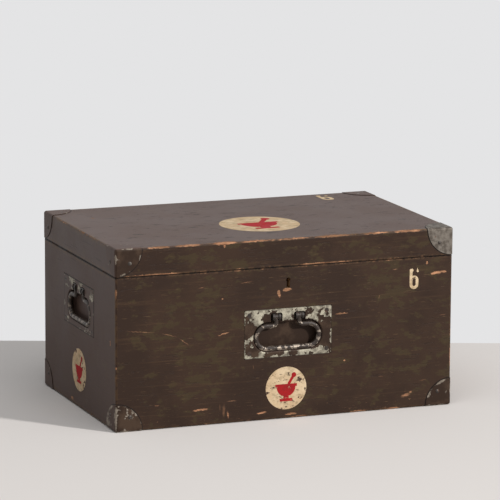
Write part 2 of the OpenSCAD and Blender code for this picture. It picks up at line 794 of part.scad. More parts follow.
// Boards of the case
module front_board() {
    color(brown) on_caps() difference() {
        long_board(front_y, 0, case_top, case_fingers);
        bottom_space(0);
        on_front_plate() plate_pocket();
        at_lock() {
            at_keyhole() translate([0, 0, -past]) linear_extrude(board_t + 2 * past) keyhole(0);
            lock_screw_spots() wood_screw_hole();
        }
        cap_nail_holes(false);
        floor_nails() panel_nail();
    }
}
module back_board() {
    color(brown) on_caps() difference() {
        long_board(back_y - board_t, 0, case_top, case_fingers);
        bottom_space(0);
        hinge_mortises();
        hinge_screw_spots(-1) wood_screw_hole();
        cap_nail_holes(false);
        floor_nails() panel_nail();
    }
}
module left_board() {
    color(brown) on_caps() difference() {
        end_board(-case_w / 2, 0, case_top, case_fingers);
        bottom_space(0);
        on_left_plate() plate_pocket();
        cap_nail_holes(false);
        floor_nails() panel_nail();
    }
}
module right_board() {
    color(brown) on_caps() difference() {
        end_board(inner_x, 0, case_top, case_fingers);
        bottom_space(0);
        on_right_plate() plate_pocket();
        at_stay_case() stay_hole();
        cap_nail_holes(false);
        floor_nails() panel_nail();
    }
}
module bottom_panel() {
    color(bare_wood) on_caps() difference() {
        intersection() {
            bottom_space(0);
            span([-case_w, front_y, 0], [case_w, back_y, floor_t]);
        }
        cap_nail_holes(false);
        floor_nails() panel_nail();
    }
}
module bottom_panel_nails() {
    color(steel) on_caps() floor_nails() panel_nail();
}

// Lid
module lid_panel() {
    color(brown) on_caps() difference() {
        wood_body(case_h - lid_panel_t, case_h + past);
        cap_nail_holes(true);
        lid_nails() panel_nail();
    }
}
module lid_panel_nails() {
    color(steel) on_caps() lid_nails() panel_nail();
}
module lid_front_rail() {
    color(brown) on_caps() difference() {
        long_board(front_y, lid_bottom, case_h - lid_panel_t, lid_fingers);
        staple_screw_spots() wood_screw_hole();
        cap_nail_holes(true);
        lid_nails() panel_nail();
    }
}
module lid_back_rail() {
    color(brown) on_caps() difference() {
        long_board(back_y - board_t, lid_bottom, case_h - lid_panel_t, lid_fingers);
        hinge_mortises();
        hinge_screw_spots(1) wood_screw_hole();
        cap_nail_holes(true);
        lid_nails() panel_nail();
    }
}
module lid_left_rail() {
    color(brown) on_caps() difference() {
        end_board(-case_w / 2, lid_bottom, case_h - lid_panel_t, lid_fingers);
        cap_nail_holes(true);
        lid_nails() panel_nail();
    }
}
module lid_right_rail() {
    color(brown) on_caps() difference() {
        end_board(inner_x, lid_bottom, case_h - lid_panel_t, lid_fingers);
        at_stay_lid() stay_hole();
        cap_nail_holes(true);
        lid_nails() panel_nail();
    }
}

// Corner caps and their nails
module case_cap_front_left() { color(dark_steel) on_caps() at_corner(false, false, false) cap(); }
module case_cap_front_right() { color(dark_steel) on_caps() at_corner(true, false, false) cap(); }
module case_cap_back_left() { color(dark_steel) on_caps() at_corner(false, true, false) cap(); }
module case_cap_back_right() { color(dark_steel) on_caps() at_corner(true, true, false) cap(); }
module lid_cap_front_left() { color(dark_steel) on_caps() at_corner(false, false, true) cap(); }
module lid_cap_front_right() { color(dark_steel) on_caps() at_corner(true, false, true) cap(); }
module lid_cap_back_left() { color(dark_steel) on_caps() at_corner(false, true, true) cap(); }
module lid_cap_back_right() { color(dark_steel) on_caps() at_corner(true, true, true) cap(); }
module cap_nails(top) {
    color(steel) on_caps() for (right = [false, true], back = [false, true]) at_corner(right, back, top) {
        cap_side_nails() cap_nail();
        cap_flush_nail();
    }
}
module case_cap_nails() { cap_nails(false); }
module lid_cap_nails() { cap_nails(true); }

// Handles
module plate_screws() { color(dark_steel) plate_screw_spots() wood_screw(); }
module front_handle_plate() { on_caps() on_front_plate() handle_plate(); }
module front_handle_lugs() { on_caps() on_front_plate() handle_lugs(); }
module front_bail() { on_caps() on_front_plate() bail(); }
module front_plate_screws() { on_caps() on_front_plate() plate_screws(); }
module left_handle_plate() { on_caps() on_left_plate() handle_plate(); }
module left_handle_lugs() { on_caps() on_left_plate() handle_lugs(); }
module left_bail() { on_caps() on_left_plate() bail(); }
module left_plate_screws() { on_caps() on_left_plate() plate_screws(); }
module right_handle_plate() { on_caps() on_right_plate() handle_plate(); }
module right_handle_lugs() { on_caps() on_right_plate() handle_lugs(); }
module right_bail() { on_caps() on_right_plate() bail(); }
module right_plate_screws() { on_caps() on_right_plate() plate_screws(); }

// Lock
module lock_back_plate() {
    w = lock_half + lock_flange;
    color(dark_steel) on_caps() at_lock() difference() {
        span([-w, 0, -lock_bottom], [w, lock_t, -lock_top]);
        at_keyhole() translate([0, 0, -lock_t - past]) linear_extrude(lock_t + 2 * past) keyhole(0);
        lock_screw_spots() wood_screw_hole();
    }
}
module lock_case() {
    color(steel) on_caps() at_lock() difference() {
        union() {
            difference() {
                span([-lock_half, lock_t, -lock_bottom + lock_rim], [lock_half, lock_case_d, -lock_top - lock_rim]);
                span([-lock_half + lock_t, lock_t - past, -lock_bottom + lock_rim + lock_t],
                     [lock_half - lock_t, lock_case_d - lock_t, -lock_top - lock_rim - lock_t]);
            }
            for (side = [-1, 1])
                span([side > 0 ? guide_in : -guide_out, lock_t + guide_lift, -bolt_drop - bolt_d / 2 - guide_wall],
                     [side > 0 ? guide_out : -guide_in, lock_case_d - lock_t / 2, -lock_top - lock_rim - lock_t / 2]);
        }
        span([-link_t / 2 - link_slot_gap, lock_t - past, -lock_top - lock_rim - lock_t - past],
             [link_t / 2 + link_slot_gap, link_far + link_gap, past]);
        translate([-guide_out - past, bolt_y, -bolt_drop]) rotate([0, 90, 0])
            cylinder(r = bolt_d / 2 + bolt_clear, h = 2 * (guide_out + past));
        at_keyhole() translate([0, 0, -lock_case_d - past]) cylinder(d = key_post_d, h = lock_t + 2 * past);
    }
}
module lock_bolt() {
    tail = guide_out + bolt_travel + talon_gap + talon_w;
    tip = link_t / 2 + bolt_tip_gap;
    color(steel) on_caps() at_lock() {
        translate([-tail, bolt_y, -bolt_drop]) rotate([0, 90, 0]) cylinder(d = bolt_d, h = tail - tip);
        span([-tail, bolt_y - talon_t / 2, -bolt_drop - talon_drop],
             [-tail + talon_w, bolt_y + talon_t / 2, -bolt_drop]);
    }
}
module lock_key_post() {
    color(steel) on_caps() at_lock() translate([0, lock_case_d, -keyhole_drop]) rotate([90, 0, 0])
        cylinder(d = key_post_d, h = lock_case_d - key_post_in);
}
module lock_screws() { color(dark_steel) on_caps() at_lock() lock_screw_spots() wood_screw(); }
module lid_lock_staple() {
    color(steel) on_caps() difference() {
        union() {
            translate([front_fittings_x, inner_front_y, lid_bottom])
                span([-staple_half, 0, staple_low], [staple_half, staple_plate_t, staple_high]);
            translate([front_fittings_x, inner_front_y, lid_bottom])
                span([-link_t / 2, staple_plate_t / 2, staple_low + link_wall], [link_t / 2, link_far, staple_high * 0.6]);
            at_lock() span([-link_t / 2, link_near, -bolt_drop - link_hole_r - link_wall],
                           [link_t / 2, link_far, seam_gap + staple_low + 2 * link_wall]);
        }
        at_lock() translate([-link_t, bolt_y, -bolt_drop]) rotate([0, 90, 0]) cylinder(r = link_hole_r, h = 2 * link_t);
        staple_screw_spots() wood_screw_hole();
    }
}
module lid_staple_screws() { color(dark_steel) on_caps() staple_screw_spots() wood_screw(); }

// Hinges
module left_hinge_case_leaf() { on_caps() hinge_case_leaf(-1); }
module left_hinge_lid_leaf() { on_caps() hinge_lid_leaf(-1); }
module left_hinge_pin() { on_caps() hinge_pin(-1); }
module right_hinge_case_leaf() { on_caps() hinge_case_leaf(1); }
module right_hinge_lid_leaf() { on_caps() hinge_lid_leaf(1); }
module right_hinge_pin() { on_caps() hinge_pin(1); }
module hinge_case_screws() { color(dark_steel) on_caps() hinge_screw_spots(-1) wood_screw(); }
module hinge_lid_screws() { color(dark_steel) on_caps() hinge_screw_spots(1) wood_screw(); }

// Lid stay
module stay_bar() {
    color(steel) on_caps() translate([inner_x - collar_l - stay_side_gap, stay_lid_y, stay_lid_z])
        rotate([stay_tilt, 0, 0]) rotate([0, -90, 0]) linear_extrude(stay_t) difference() {
            translate([-stay_far / 2, 0]) stadium(stay_far / 2, stay_w / 2);
            circle(d = stud_d + 2 * pivot_clear);
            translate([-(stay_far + stay_shut - slot_clear) / 2, 0])
                stadium((stay_far - stay_shut + slot_clear) / 2, stud_d / 2 + slot_clear);
        }
}
module stay_case_stud() { color(steel) on_caps() at_stay_case() stay_shank(stay_space); }
module stay_lid_pivot() { color(steel) on_caps() at_stay_lid() stay_shank(stay_space); }

// Painted marks. A disc or a sign is drawn upright in its own plane about its centre
module disc_mark(d) {
    cylinder(d = d, h = paint_t);
}

// Mortar and pestle in a disc of a given diameter
module mortar_sign(d) {
    u = d / 20;
    linear_extrude(paint_t) {
        intersection() {
            translate([0, u * 0.6]) circle(u * 4.6);
            translate([-u * 5, -u * 3.6]) square([u * 10, u * 4.2]);
        }
        translate([-u * 5.3, u * 0.6]) square([u * 10.6, u * 1.3]);
        translate([-u * 1.3, -u * 5.2]) square([u * 2.6, u * 2]);
        translate([-u * 3.1, -u * 6.2]) square([u * 6.2, u * 1.3]);
        translate([u * 1.2, u * 1.8]) rotate(-32) {
            translate([-u * 0.65, 0]) square([u * 1.3, u * 4.6]);
            translate([0, u * 4.9]) circle(u * 1.15);
        }
    }
}

// Upright slot with round ends, its foot at Y = low
module tall_slot(r, low, high) {
    for (y = [low + r, high - r]) translate([0, y]) circle(r);
    translate([-r, low + r]) square([2 * r, high - low - 2 * r]);
}

// Slim figure six of a given height, its foot at Y = 0 and the tip of its top stroke broken off
module figure_six(h) {
    w = h * 0.145;
    half = h * 0.23;
    bowl = h * 0.66;
    tip_x = h * 0.19;
    tip_y = h * 0.87;
    tip_r = h * 0.055;
    linear_extrude(paint_t) {
        difference() {
            tall_slot(half, 0, bowl);
            tall_slot(half - w, w, bowl - w);
        }
        translate([-half, half]) square([w, h - half - w / 2]);
        for (step = [0, 0.35]) translate([-half + w * (0.5 + step), h - w / 2]) circle(w / 2);
        translate([tip_x, tip_y]) {
            circle(tip_r);
            polygon([[-tip_r, 0], [tip_r, 0], [-tip_r * 0.4, h * 1.04 - tip_y]]);
        }
    }
}
module on_case_front(x, z) {
    translate([x, front_y, z]) rotate([90, 0, 0]) children();
}
module on_lid_top(x, y) {
    translate([x, case_y + y, case_h]) children();
}
module at_end_discs() {
    translate([-case_w / 2, case_y, end_disc_z]) rotate([90, 0, -90]) children();
    translate([case_w / 2, case_y, end_disc_z]) rotate([90, 0, 90]) children();
}
module case_cream_marks() {
    color(cream) on_caps() {
        on_case_front(0, front_disc_z) disc_mark(small_disc_d);
        at_end_discs() disc_mark(small_disc_d);
        on_case_front(case_w / 2 - figure_in, case_top - figure_drop - figure_h) figure_six(figure_h);
    }
}
module case_red_signs() {
    color(red) on_caps() {
        on_case_front(0, front_disc_z) translate([0, 0, paint_t]) mortar_sign(small_disc_d);
        at_end_discs() translate([0, 0, paint_t]) mortar_sign(small_disc_d);
    }
}
module lid_cream_marks() {
    color(cream) on_caps() {
        on_lid_top(lid_disc_x, -lid_disc_y) disc_mark(lid_disc_d);
        on_lid_top(case_w / 2 - lid_figure_in, case_d / 2 - lid_figure_back - lid_figure_h / 2)
            figure_six(lid_figure_h);
    }
}
module lid_red_sign() {
    color(red) on_caps() on_lid_top(lid_disc_x, -lid_disc_y) translate([0, 0, paint_t]) mortar_sign(lid_disc_d);
}

front_board();
back_board();
left_board();
right_board();
bottom_panel();
bottom_panel_nails();
lid_panel();
lid_panel_nails();
lid_front_rail();
lid_back_rail();
lid_left_rail();
lid_right_rail();
case_cap_front_left();
case_cap_front_right();
case_cap_back_left();
case_cap_back_right();
lid_cap_front_left();
lid_cap_front_right();
lid_cap_back_left();
lid_cap_back_right();
case_cap_nails();
lid_cap_nails();
front_handle_plate();
front_handle_lugs();
front_bail();
front_plate_screws();
left_handle_plate();
left_handle_lugs();
left_bail();
left_plate_screws();
right_handle_plate();
right_handle_lugs();
right_bail();
right_plate_screws();
lock_back_plate();
lock_case();
lock_bolt();
lock_key_post();
lock_screws();
lid_lock_staple();
lid_staple_screws();
left_hinge_case_leaf();
left_hinge_lid_leaf();
left_hinge_pin();
right_hinge_case_leaf();
right_hinge_lid_leaf();
right_hinge_pin();
hinge_case_screws();
hinge_lid_screws();
stay_bar();
stay_case_stud();
stay_lid_pivot();
case_cream_marks();
case_red_signs();
lid_cream_marks();
lid_red_sign();
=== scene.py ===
"""Painted wooden medicine chest: worn finishes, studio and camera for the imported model.

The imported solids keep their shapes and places. Each class below takes one sub-assembly of the
chest and dresses its pieces in procedural finishes. All places are in metres, in the row frame:
+X along the front, +Z up and -Y out of the front.
"""

from __future__ import annotations

import json
import logging
import math
from dataclasses import dataclass, replace
from enum import Enum
from typing import Sequence

import bpy
from mathutils import Matrix, Vector

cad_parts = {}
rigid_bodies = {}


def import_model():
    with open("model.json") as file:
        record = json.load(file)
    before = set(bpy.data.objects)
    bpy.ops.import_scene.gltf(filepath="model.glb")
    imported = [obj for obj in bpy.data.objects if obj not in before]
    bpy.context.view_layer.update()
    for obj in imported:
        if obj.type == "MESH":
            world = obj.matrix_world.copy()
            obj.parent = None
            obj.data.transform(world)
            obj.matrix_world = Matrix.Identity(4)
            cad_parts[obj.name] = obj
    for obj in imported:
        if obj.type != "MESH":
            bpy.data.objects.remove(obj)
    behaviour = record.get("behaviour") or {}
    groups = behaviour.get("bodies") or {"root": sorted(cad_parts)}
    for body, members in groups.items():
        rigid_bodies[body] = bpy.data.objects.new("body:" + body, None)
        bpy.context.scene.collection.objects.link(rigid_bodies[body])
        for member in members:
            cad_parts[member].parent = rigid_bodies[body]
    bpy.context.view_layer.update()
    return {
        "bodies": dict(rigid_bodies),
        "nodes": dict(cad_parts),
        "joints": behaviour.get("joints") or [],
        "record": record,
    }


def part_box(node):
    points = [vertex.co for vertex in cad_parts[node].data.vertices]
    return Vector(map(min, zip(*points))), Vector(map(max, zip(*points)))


LOG = logging.getLogger("chest")
MM = 0.001

Colour = tuple[float, float, float]
Socket = bpy.types.NodeSocket


def srgb(red: int, green: int, blue: int) -> Colour:
    """Turns an 8-bit display colour into the linear colour that a shader takes.

    Args:
        red: Red, 0 to 255.
        green: Green, 0 to 255.
        blue: Blue, 0 to 255.

    Returns:
        The linear colour.
    """
    def linear(byte: int) -> float:
        """Linear value of one channel."""
        share = byte / 255.0
        return share / 12.92 if share <= 0.04045 else ((share + 0.055) / 1.055) ** 2.4

    return linear(red), linear(green), linear(blue)


# Colour of the dusty bloom and the painted sheen on the top and the ends.
DUST_AND_SHEEN_TINT = srgb(90, 73, 67)
# Colour of the dark nicks and of the painted gap shade round handle plates.
CRACK_AND_GAP_SHADE = srgb(24, 18, 15)
GRAIN_ALONG_X = (1.0, 12.0, 24.0)
GRAIN_ALONG_Y = (12.0, 1.0, 24.0)
CAP_SIZE = 48 * MM
MID_HEIGHT = 0.16


class Face(Enum):
    """A side of the chest that a mark or a handle plate lies on."""

    FRONT = "front"
    LEFT = "left"
    RIGHT = "right"
    TOP = "top"


@dataclass(frozen=True)
class Block:
    """The outer block of the case or of the lid, in metres."""

    low: Vector
    high: Vector

    @staticmethod
    def around(*nodes: str) -> "Block":
        """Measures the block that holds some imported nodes.

        Args:
            *nodes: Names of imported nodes.

        Returns:
            The block about all of them.
        """
        corners = [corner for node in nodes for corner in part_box(node)]
        low = Vector(min(corner[axis] for corner in corners) for axis in range(3))
        high = Vector(max(corner[axis] for corner in corners) for axis in range(3))
        return Block(low, high)

    @property
    def centre(self) -> Vector:
        """Middle of the block."""
        return (self.low + self.high) / 2

    @property
    def half(self) -> Vector:
        """Half the block's size along each axis."""
        return (self.high - self.low) / 2


class Graph:
    """One material's node tree, built from sockets and plain numbers."""

    def __init__(self, name: str) -> None:
        """Makes an empty material.

        Args:
            name: Name of the material.
        """
        self.material = bpy.data.materials.new(name)
        self.material.use_nodes = True
        self.tree = self.material.node_tree
        self.tree.nodes.clear()
        self.coordinates = self.tree.nodes.new("ShaderNodeTexCoord")
        self.place: Socket = self.coordinates.outputs["Object"]
        self.facing: Socket = self.coordinates.outputs["Normal"]

    def node(self, kind: str, **settings: object) -> bpy.types.Node:
        """Adds a node and sets its properties.

        Args:
            kind: Blender's class name of the node.
            **settings: Properties to set on it.

        Returns:
            The new node.
        """
        made = self.tree.nodes.new(kind)
        for key, value in settings.items():
            setattr(made, key, value)
        return made

    def feed(self, target: Socket, value: object) -> None:
        """Links a socket to an input, or writes a plain value there.

        Args:
            target: The input socket.
            value: A socket, a number, a vector or a colour.
        """
        if isinstance(value, bpy.types.NodeSocket):
            self.tree.links.new(value, target)
        elif isinstance(value, (int, float)):
            target.default_value = float(value)
        elif len(value) == 3 and target.type == "RGBA":
            target.default_value = (*value, 1.0)
        else:
            target.default_value = value

    def sum(self, operation: str, first: object, second: object = 0.0) -> Socket:
        """One arithmetic step.

        Args:
            operation: Blender's name of the operation, such as ADD.
            first: First number.
            second: Second number.

        Returns:
            The result.
        """
        made = self.node("ShaderNodeMath", operation=operation)
        self.feed(made.inputs[0], first)
        self.feed(made.inputs[1], second)
        return made.outputs[0]

    def plus(self, first: object, second: object) -> Socket:
        """Adds two numbers."""
        return self.sum("ADD", first, second)

    def minus(self, first: object, second: object) -> Socket:
        """Takes the second number from the first."""
        return self.sum("SUBTRACT", first, second)

    def times(self, first: object, second: object) -> Socket:
        """Multiplies two numbers."""
        return self.sum("MULTIPLY", first, second)

    def higher(self, first: object, second: object) -> Socket:
        """The larger of two numbers."""
        return self.sum("MAXIMUM", first, second)

    def lower(self, first: object, second: object) -> Socket:
        """The smaller of two numbers."""
        return self.sum("MINIMUM", first, second)

    def magnitude(self, value: object) -> Socket:
        """A number without its sign."""
        return self.sum("ABSOLUTE", value)

    def vector(self, operation: str, first: object, second: object = (0.0, 0.0, 0.0)) -> Socket:
        """One step of vector arithmetic, the length included.

        Args:
            operation: Blender's name of the operation.
            first: First vector.
            second: Second vector, or a number to scale by.

        Returns:
            The result.
        """
        made = self.node("ShaderNodeVectorMath", operation=operation)
        self.feed(made.inputs[0], first)
        if operation == "SCALE":
            self.feed(made.inputs["Scale"], second)
        elif operation not in ("LENGTH", "ABSOLUTE"):
            self.feed(made.inputs[1], second)
        return made.outputs["Value"] if operation == "LENGTH" else made.outputs["Vector"]

    def parts(self, vector: Socket) -> tuple[Socket, Socket, Socket]:
        """Splits a vector.

        Args:
            vector: The vector.

        Returns:
            Its X, Y and Z.
        """
        made = self.node("ShaderNodeSeparateXYZ")
        self.feed(made.inputs[0], vector)
        return made.outputs[0], made.outputs[1], made.outputs[2]

    def step(self, value: object, low: object, high: object) -> Socket:
        """Smooth step from 0 to 1 between two limits.

        Args:
            value: The number to grade.
            low: Where the result is 0.
            high: Where the result is 1.

        Returns:
            The graded number.
        """
        made = self.node("ShaderNodeMapRange", interpolation_type="SMOOTHSTEP")
        self.feed(made.inputs[0], value)
        self.feed(made.inputs[1], low)
        self.feed(made.inputs[2], high)
        return made.outputs[0]

    def noise(self, vector: object, scale: float, detail: float = 3.0, rough: float = 0.55,
              stretch: tuple[float, float, float] | None = None) -> Socket:
        """Cloudy noise about 0.5.

        Args:
            vector: Place to sample at.
            scale: Cells per metre.
            detail: Octaves.
            rough: Strength of the finer octaves.
            stretch: Factors on the place's axes before sampling.

        Returns:
            The noise value.
        """
        source = self.vector("MULTIPLY", vector, stretch) if stretch else vector
        made = self.node("ShaderNodeTexNoise")
        self.feed(made.inputs["Vector"], source)
        self.feed(made.inputs["Scale"], scale)
        self.feed(made.inputs["Detail"], detail)
        self.feed(made.inputs["Roughness"], rough)
        return made.outputs[0]

    def specks(self, vector: object, scale: float, size: float, share: float) -> Socket:
        """Small round spots, strewn unevenly.

        Args:
            vector: Place to sample at.
            scale: Cells per metre, each with one spot or none.
            size: Radius of a spot in metres.
            share: Share of the cells that have a spot.

        Returns:
            1 inside a spot and 0 outside.
        """
        made = self.node("ShaderNodeTexVoronoi")
        self.feed(made.inputs["Vector"], vector)
        self.feed(made.inputs["Scale"], scale)
        chance, grade, _ = self.parts(made.outputs["Color"])
        reach = self.times(self.plus(grade, 0.35), size * scale)
        spot = self.step(self.minus(reach, made.outputs["Distance"]), 0.0, size * scale * 0.4)
        return self.times(spot, self.sum("LESS_THAN", chance, share))

    def upward(self) -> tuple[Socket, Socket]:
        """Tells which way a point's face looks.

        Returns:
            1 on an upright end and 0 elsewhere, and 1 on a level face and 0 elsewhere.
        """
        x, _, z = self.parts(self.vector("ABSOLUTE", self.facing))
        return self.step(x, 0.6, 0.8), self.step(z, 0.6, 0.8)

    def dust_and_sheen(self, at_end: Socket, at_top: Socket) -> Socket:
        """Share of the dusty bloom and painted sheen that lies on the ends and, thicker, on the top."""
        return self.higher(self.times(at_top, 0.75), self.times(at_end, 0.60))

    def warp(self, vector: Socket, scale: float, reach: float) -> Socket:
        """Shifts a place by noise, so that shapes drawn there get ragged edges.

        Args:
            vector: The place.
            scale: Cells of the noise per metre.
            reach: Largest shift in metres.

        Returns:
            The shifted place.
        """
        made = self.node("ShaderNodeTexNoise")
        self.feed(made.inputs["Vector"], vector)
        self.feed(made.inputs["Scale"], scale)
        self.feed(made.inputs["Detail"], 4.0)
        self.feed(made.inputs["Roughness"], 0.65)
        centred = self.vector("SUBTRACT", made.outputs["Color"], (0.5, 0.5, 0.5))
        return self.vector("ADD", vector, self.vector("SCALE", centred, 2.0 * reach))

    def mix(self, share: object, first: object, second: object) -> Socket:
        """Blends two colours.

        Args:
            share: 0 gives the first colour and 1 the second.
            first: First colour.
            second: Second colour.

        Returns:
            The blended colour.
        """
        made = self.node("ShaderNodeMix", data_type="RGBA")
        self.feed(made.inputs[0], share)
        self.feed(made.inputs[6], first)
        self.feed(made.inputs[7], second)
        return made.outputs[2]

    def blend(self, share: object, first: object, second: object) -> Socket:
        """Blends two numbers.

        Args:
            share: 0 gives the first number and 1 the second.
            first: First number.
            second: Second number.

        Returns:
            The blended number.
        """
        made = self.node("ShaderNodeMix", data_type="FLOAT")
        self.feed(made.inputs[0], share)
        self.feed(made.inputs[2], first)
        self.feed(made.inputs[3], second)
        return made.outputs[0]

    def largest(self, values: Sequence[Socket]) -> Socket:
        """Finds the largest of some numbers.

        Args:
            values: The numbers.

        Returns:
            The largest.
        """
        result = values[0]
        for value in values[1:]:
            result = self.higher(result, value)
        return result

    def bump(self, height: Socket, depth: float, strength: float = 1.0) -> Socket:
        """Turns a height into a normal.

        Args:
            height: Height, 0 to 1.
            depth: Real height of 1, in metres.
            strength: Share of the effect.

        Returns:
            The normal.
        """
        made = self.node("ShaderNodeBump")
        self.feed(made.inputs["Height"], height)
        self.feed(made.inputs["Distance"], depth)
        self.feed(made.inputs["Strength"], strength)
        return made.outputs[0]

    def finish(self, colour: object, rough: object, metal: object = 0.0, normal: Socket | None = None,
               level: object = 0.5) -> bpy.types.Material:
        """Closes the tree with a principled surface.

        Args:
            colour: Base colour.
            rough: Roughness.
            metal: Metallic share.
            normal: Normal, or None for the plain one.
            level: Specular level.

        Returns:
            The finished material.
        """
        shader = self.node("ShaderNodeBsdfPrincipled")
        self.feed(shader.inputs["Base Color"], colour)
        self.feed(shader.inputs["Roughness"], rough)
        self.feed(shader.inputs["Metallic"], metal)
        self.feed(shader.inputs["Specular IOR Level"], level)
        if normal is not None:
            self.feed(shader.inputs["Normal"], normal)
        output = self.node("ShaderNodeOutputMaterial")
        self.tree.links.new(shader.outputs[0], output.inputs["Surface"])
        return self.material


@dataclass(frozen=True)
class Mark:
    """One chip, dent or scratch in the paint, as a ragged ellipse on a face."""

    face: Face
    across: float
    up: float
    length: float
    width: float
    turn: float = 0.0
    strength: float = 1.0


@dataclass(frozen=True)
class Sample:
    """What the layers of the painted finish share at a point.

    Attributes:
        graph: The material that is being built.
        edge: Distance to the block's nearest edge.
        outer: Distance to the nearest painted face.
        to_open: Distance to the open face, where case and lid meet.
        to_corner: Distance to the nearest corner of the closed face.
        at_end: 1 on an upright end.
        at_top: 1 on a level face.
        dust_and_sheen: Share of the dusty bloom and of the painted sheen.
        along: Place, drawn out along the grain.
        streaks: Coarse noise along the grain.
        fibres: Fine noise along the grain.
        clouds: Coarse noise.
        patches: Finer noise.
        ragged: Finest noise, for edges.
        gaps: Noise that breaks up lines.
    """

    graph: Graph
    edge: Socket
    outer: Socket
    to_open: Socket
    to_corner: Socket
    at_end: Socket
    at_top: Socket
    dust_and_sheen: Socket
    along: Socket
    streaks: Socket
    fibres: Socket
    clouds: Socket
    patches: Socket
    ragged: Socket
    gaps: Socket


@dataclass(frozen=True)
class PaintFinish:
    """Old oil paint on pine, worn through at the edges and chipped in places."""

    name: str
    block: Block
    marks: tuple[Mark, ...]
    rough_share: float
    closed_side: float
    shine: float = 0.15
    paint: Colour = srgb(53, 37, 27)
    deep: Colour = srgb(45, 31, 23)
    olive: Colour = srgb(60, 49, 31)
    rubbed: Colour = srgb(78, 58, 40)
    wood: Colour = srgb(200, 148, 112)
    wood_dark: Colour = srgb(124, 84, 60)
    inside: Colour = srgb(152, 124, 92)
    inside_dark: Colour = srgb(122, 94, 66)
    scuffed: Colour = srgb(104, 82, 58)
    # Colour of the painted gap shade and dirty darkening round the caps and along the seam.
    gap_shade_and_grime: Colour = srgb(18, 13, 11)
    stain: Colour = srgb(92, 68, 48)
    skin: float = 1.9 * MM
    cap_reach: float = 47.6 * MM

    def spans(self, graph: Graph) -> tuple[Socket, Socket, Socket, Socket]:
        """Measures a point's way to the block's outer faces.

        Args:
            graph: The material that is being built.

        Returns:
            The distances to the nearer end, to the nearer of front and back, to the closed face
            and to the open face.
        """
        centred = graph.vector("SUBTRACT", graph.place, tuple(self.block.centre))
        x, y, _ = graph.parts(graph.vector("ABSOLUTE", centred))
        _, _, height = graph.parts(centred)
        half = self.block.half
        shut = graph.times(height, self.closed_side)
        return (graph.minus(half.x, x), graph.minus(half.y, y),
                graph.minus(half.z, shut), graph.plus(half.z, shut))

    def mark_mask(self, graph: Graph) -> Socket:
        """Draws all marks.

        Args:
            graph: The material that is being built.

        Returns:
            1 inside a mark and 0 outside.
        """
        ragged = graph.warp(graph.place, 190.0, 2.6 * MM)
        depth = 12 * MM
        found: object = 0.0
        # Each mark joins the running maximum at once, because Cycles has room for few open values.
        for mark in self.marks:
            if mark.face is Face.FRONT:
                at = (mark.across, self.block.low.y, mark.up)
                turn, size = (0.0, -math.radians(mark.turn), 0.0), (mark.length, depth, mark.width)
            elif mark.face is Face.TOP:
                at = (mark.across, mark.up, self.block.high.z)
                turn, size = (0.0, 0.0, math.radians(mark.turn)), (mark.length, mark.width, depth)
            else:
                side = self.block.low.x if mark.face is Face.LEFT else self.block.high.x
                at = (side, mark.across, mark.up)
                turn, size = (math.radians(mark.turn), 0.0, 0.0), (depth, mark.length, mark.width)
            spot = graph.node("ShaderNodeMapping", vector_type="TEXTURE")
            graph.feed(spot.inputs["Vector"], ragged)
            graph.feed(spot.inputs["Location"], at)
            graph.feed(spot.inputs["Rotation"], turn)
            graph.feed(spot.inputs["Scale"], size)
            far = graph.vector("LENGTH", spot.outputs[0])
            inside = graph.times(graph.minus(1.0, far), mark.strength)
            found = graph.higher(found, inside)
        return graph.step(found, 0.0, 0.25)

    def sample(self, graph: Graph) -> Sample:
        """Works out what the layers of the finish share.

        Args:
            graph: The material that is being built.

        Returns:
            The shared sockets.
        """
        to_x, to_y, to_closed, to_open = self.spans(graph)
        least, most = graph.lower(to_x, to_y), graph.higher(to_x, to_y)
        to_z = graph.lower(to_closed, to_open)
        arc = graph.node("ShaderNodeCombineXYZ")
        for place, span in zip(arc.inputs, (to_x, to_y, to_closed)):
            graph.feed(place, span)
        at_end, at_top = graph.upward()
        grain = graph.node("ShaderNodeMix", data_type="VECTOR")
        graph.feed(grain.inputs[0], at_end)
        graph.feed(grain.inputs[4], graph.vector("MULTIPLY", graph.place, GRAIN_ALONG_X))
        graph.feed(grain.inputs[5], graph.vector("MULTIPLY", graph.place, GRAIN_ALONG_Y))
        along = grain.outputs[1]
        return Sample(
            graph=graph,
            edge=graph.higher(least, graph.lower(most, to_z)),
            outer=graph.lower(least, to_closed),
            to_open=to_open,
            to_corner=graph.vector("LENGTH", arc.outputs[0]),
            at_end=at_end,
            at_top=at_top,
            dust_and_sheen=graph.dust_and_sheen(at_end, at_top),
            along=along,
            streaks=graph.noise(along, 9.0, 5.0, 0.6),
            fibres=graph.noise(along, 60.0, 3.0, 0.6),
            clouds=graph.noise(graph.place, 9.0, 5.0, 0.62),
            patches=graph.noise(graph.place, 46.0, 6.0, 0.7, (0.6, 1.0, 1.0)),
            ragged=graph.noise(graph.place, 110.0, 6.0, 0.7),
            gaps=graph.noise(graph.place, 19.0, 4.0, 0.6),
        )

    def nicks(self, at: Sample) -> Socket:
        """Short dark nicks along the grain, mostly on top.

        Args:
            at: The shared sockets.

        Returns:
            1 in a nick and 0 elsewhere.
        """
        graph = at.graph
        lines = graph.noise(at.along, 12.5, 3.0, 0.6, (3.0, 1.0, 1.4))
        lines = graph.times(graph.step(lines, 0.61, 0.67), graph.step(at.gaps, 0.40, 0.50))
        return graph.times(lines, graph.blend(at.at_top, 0.35, 1.0))

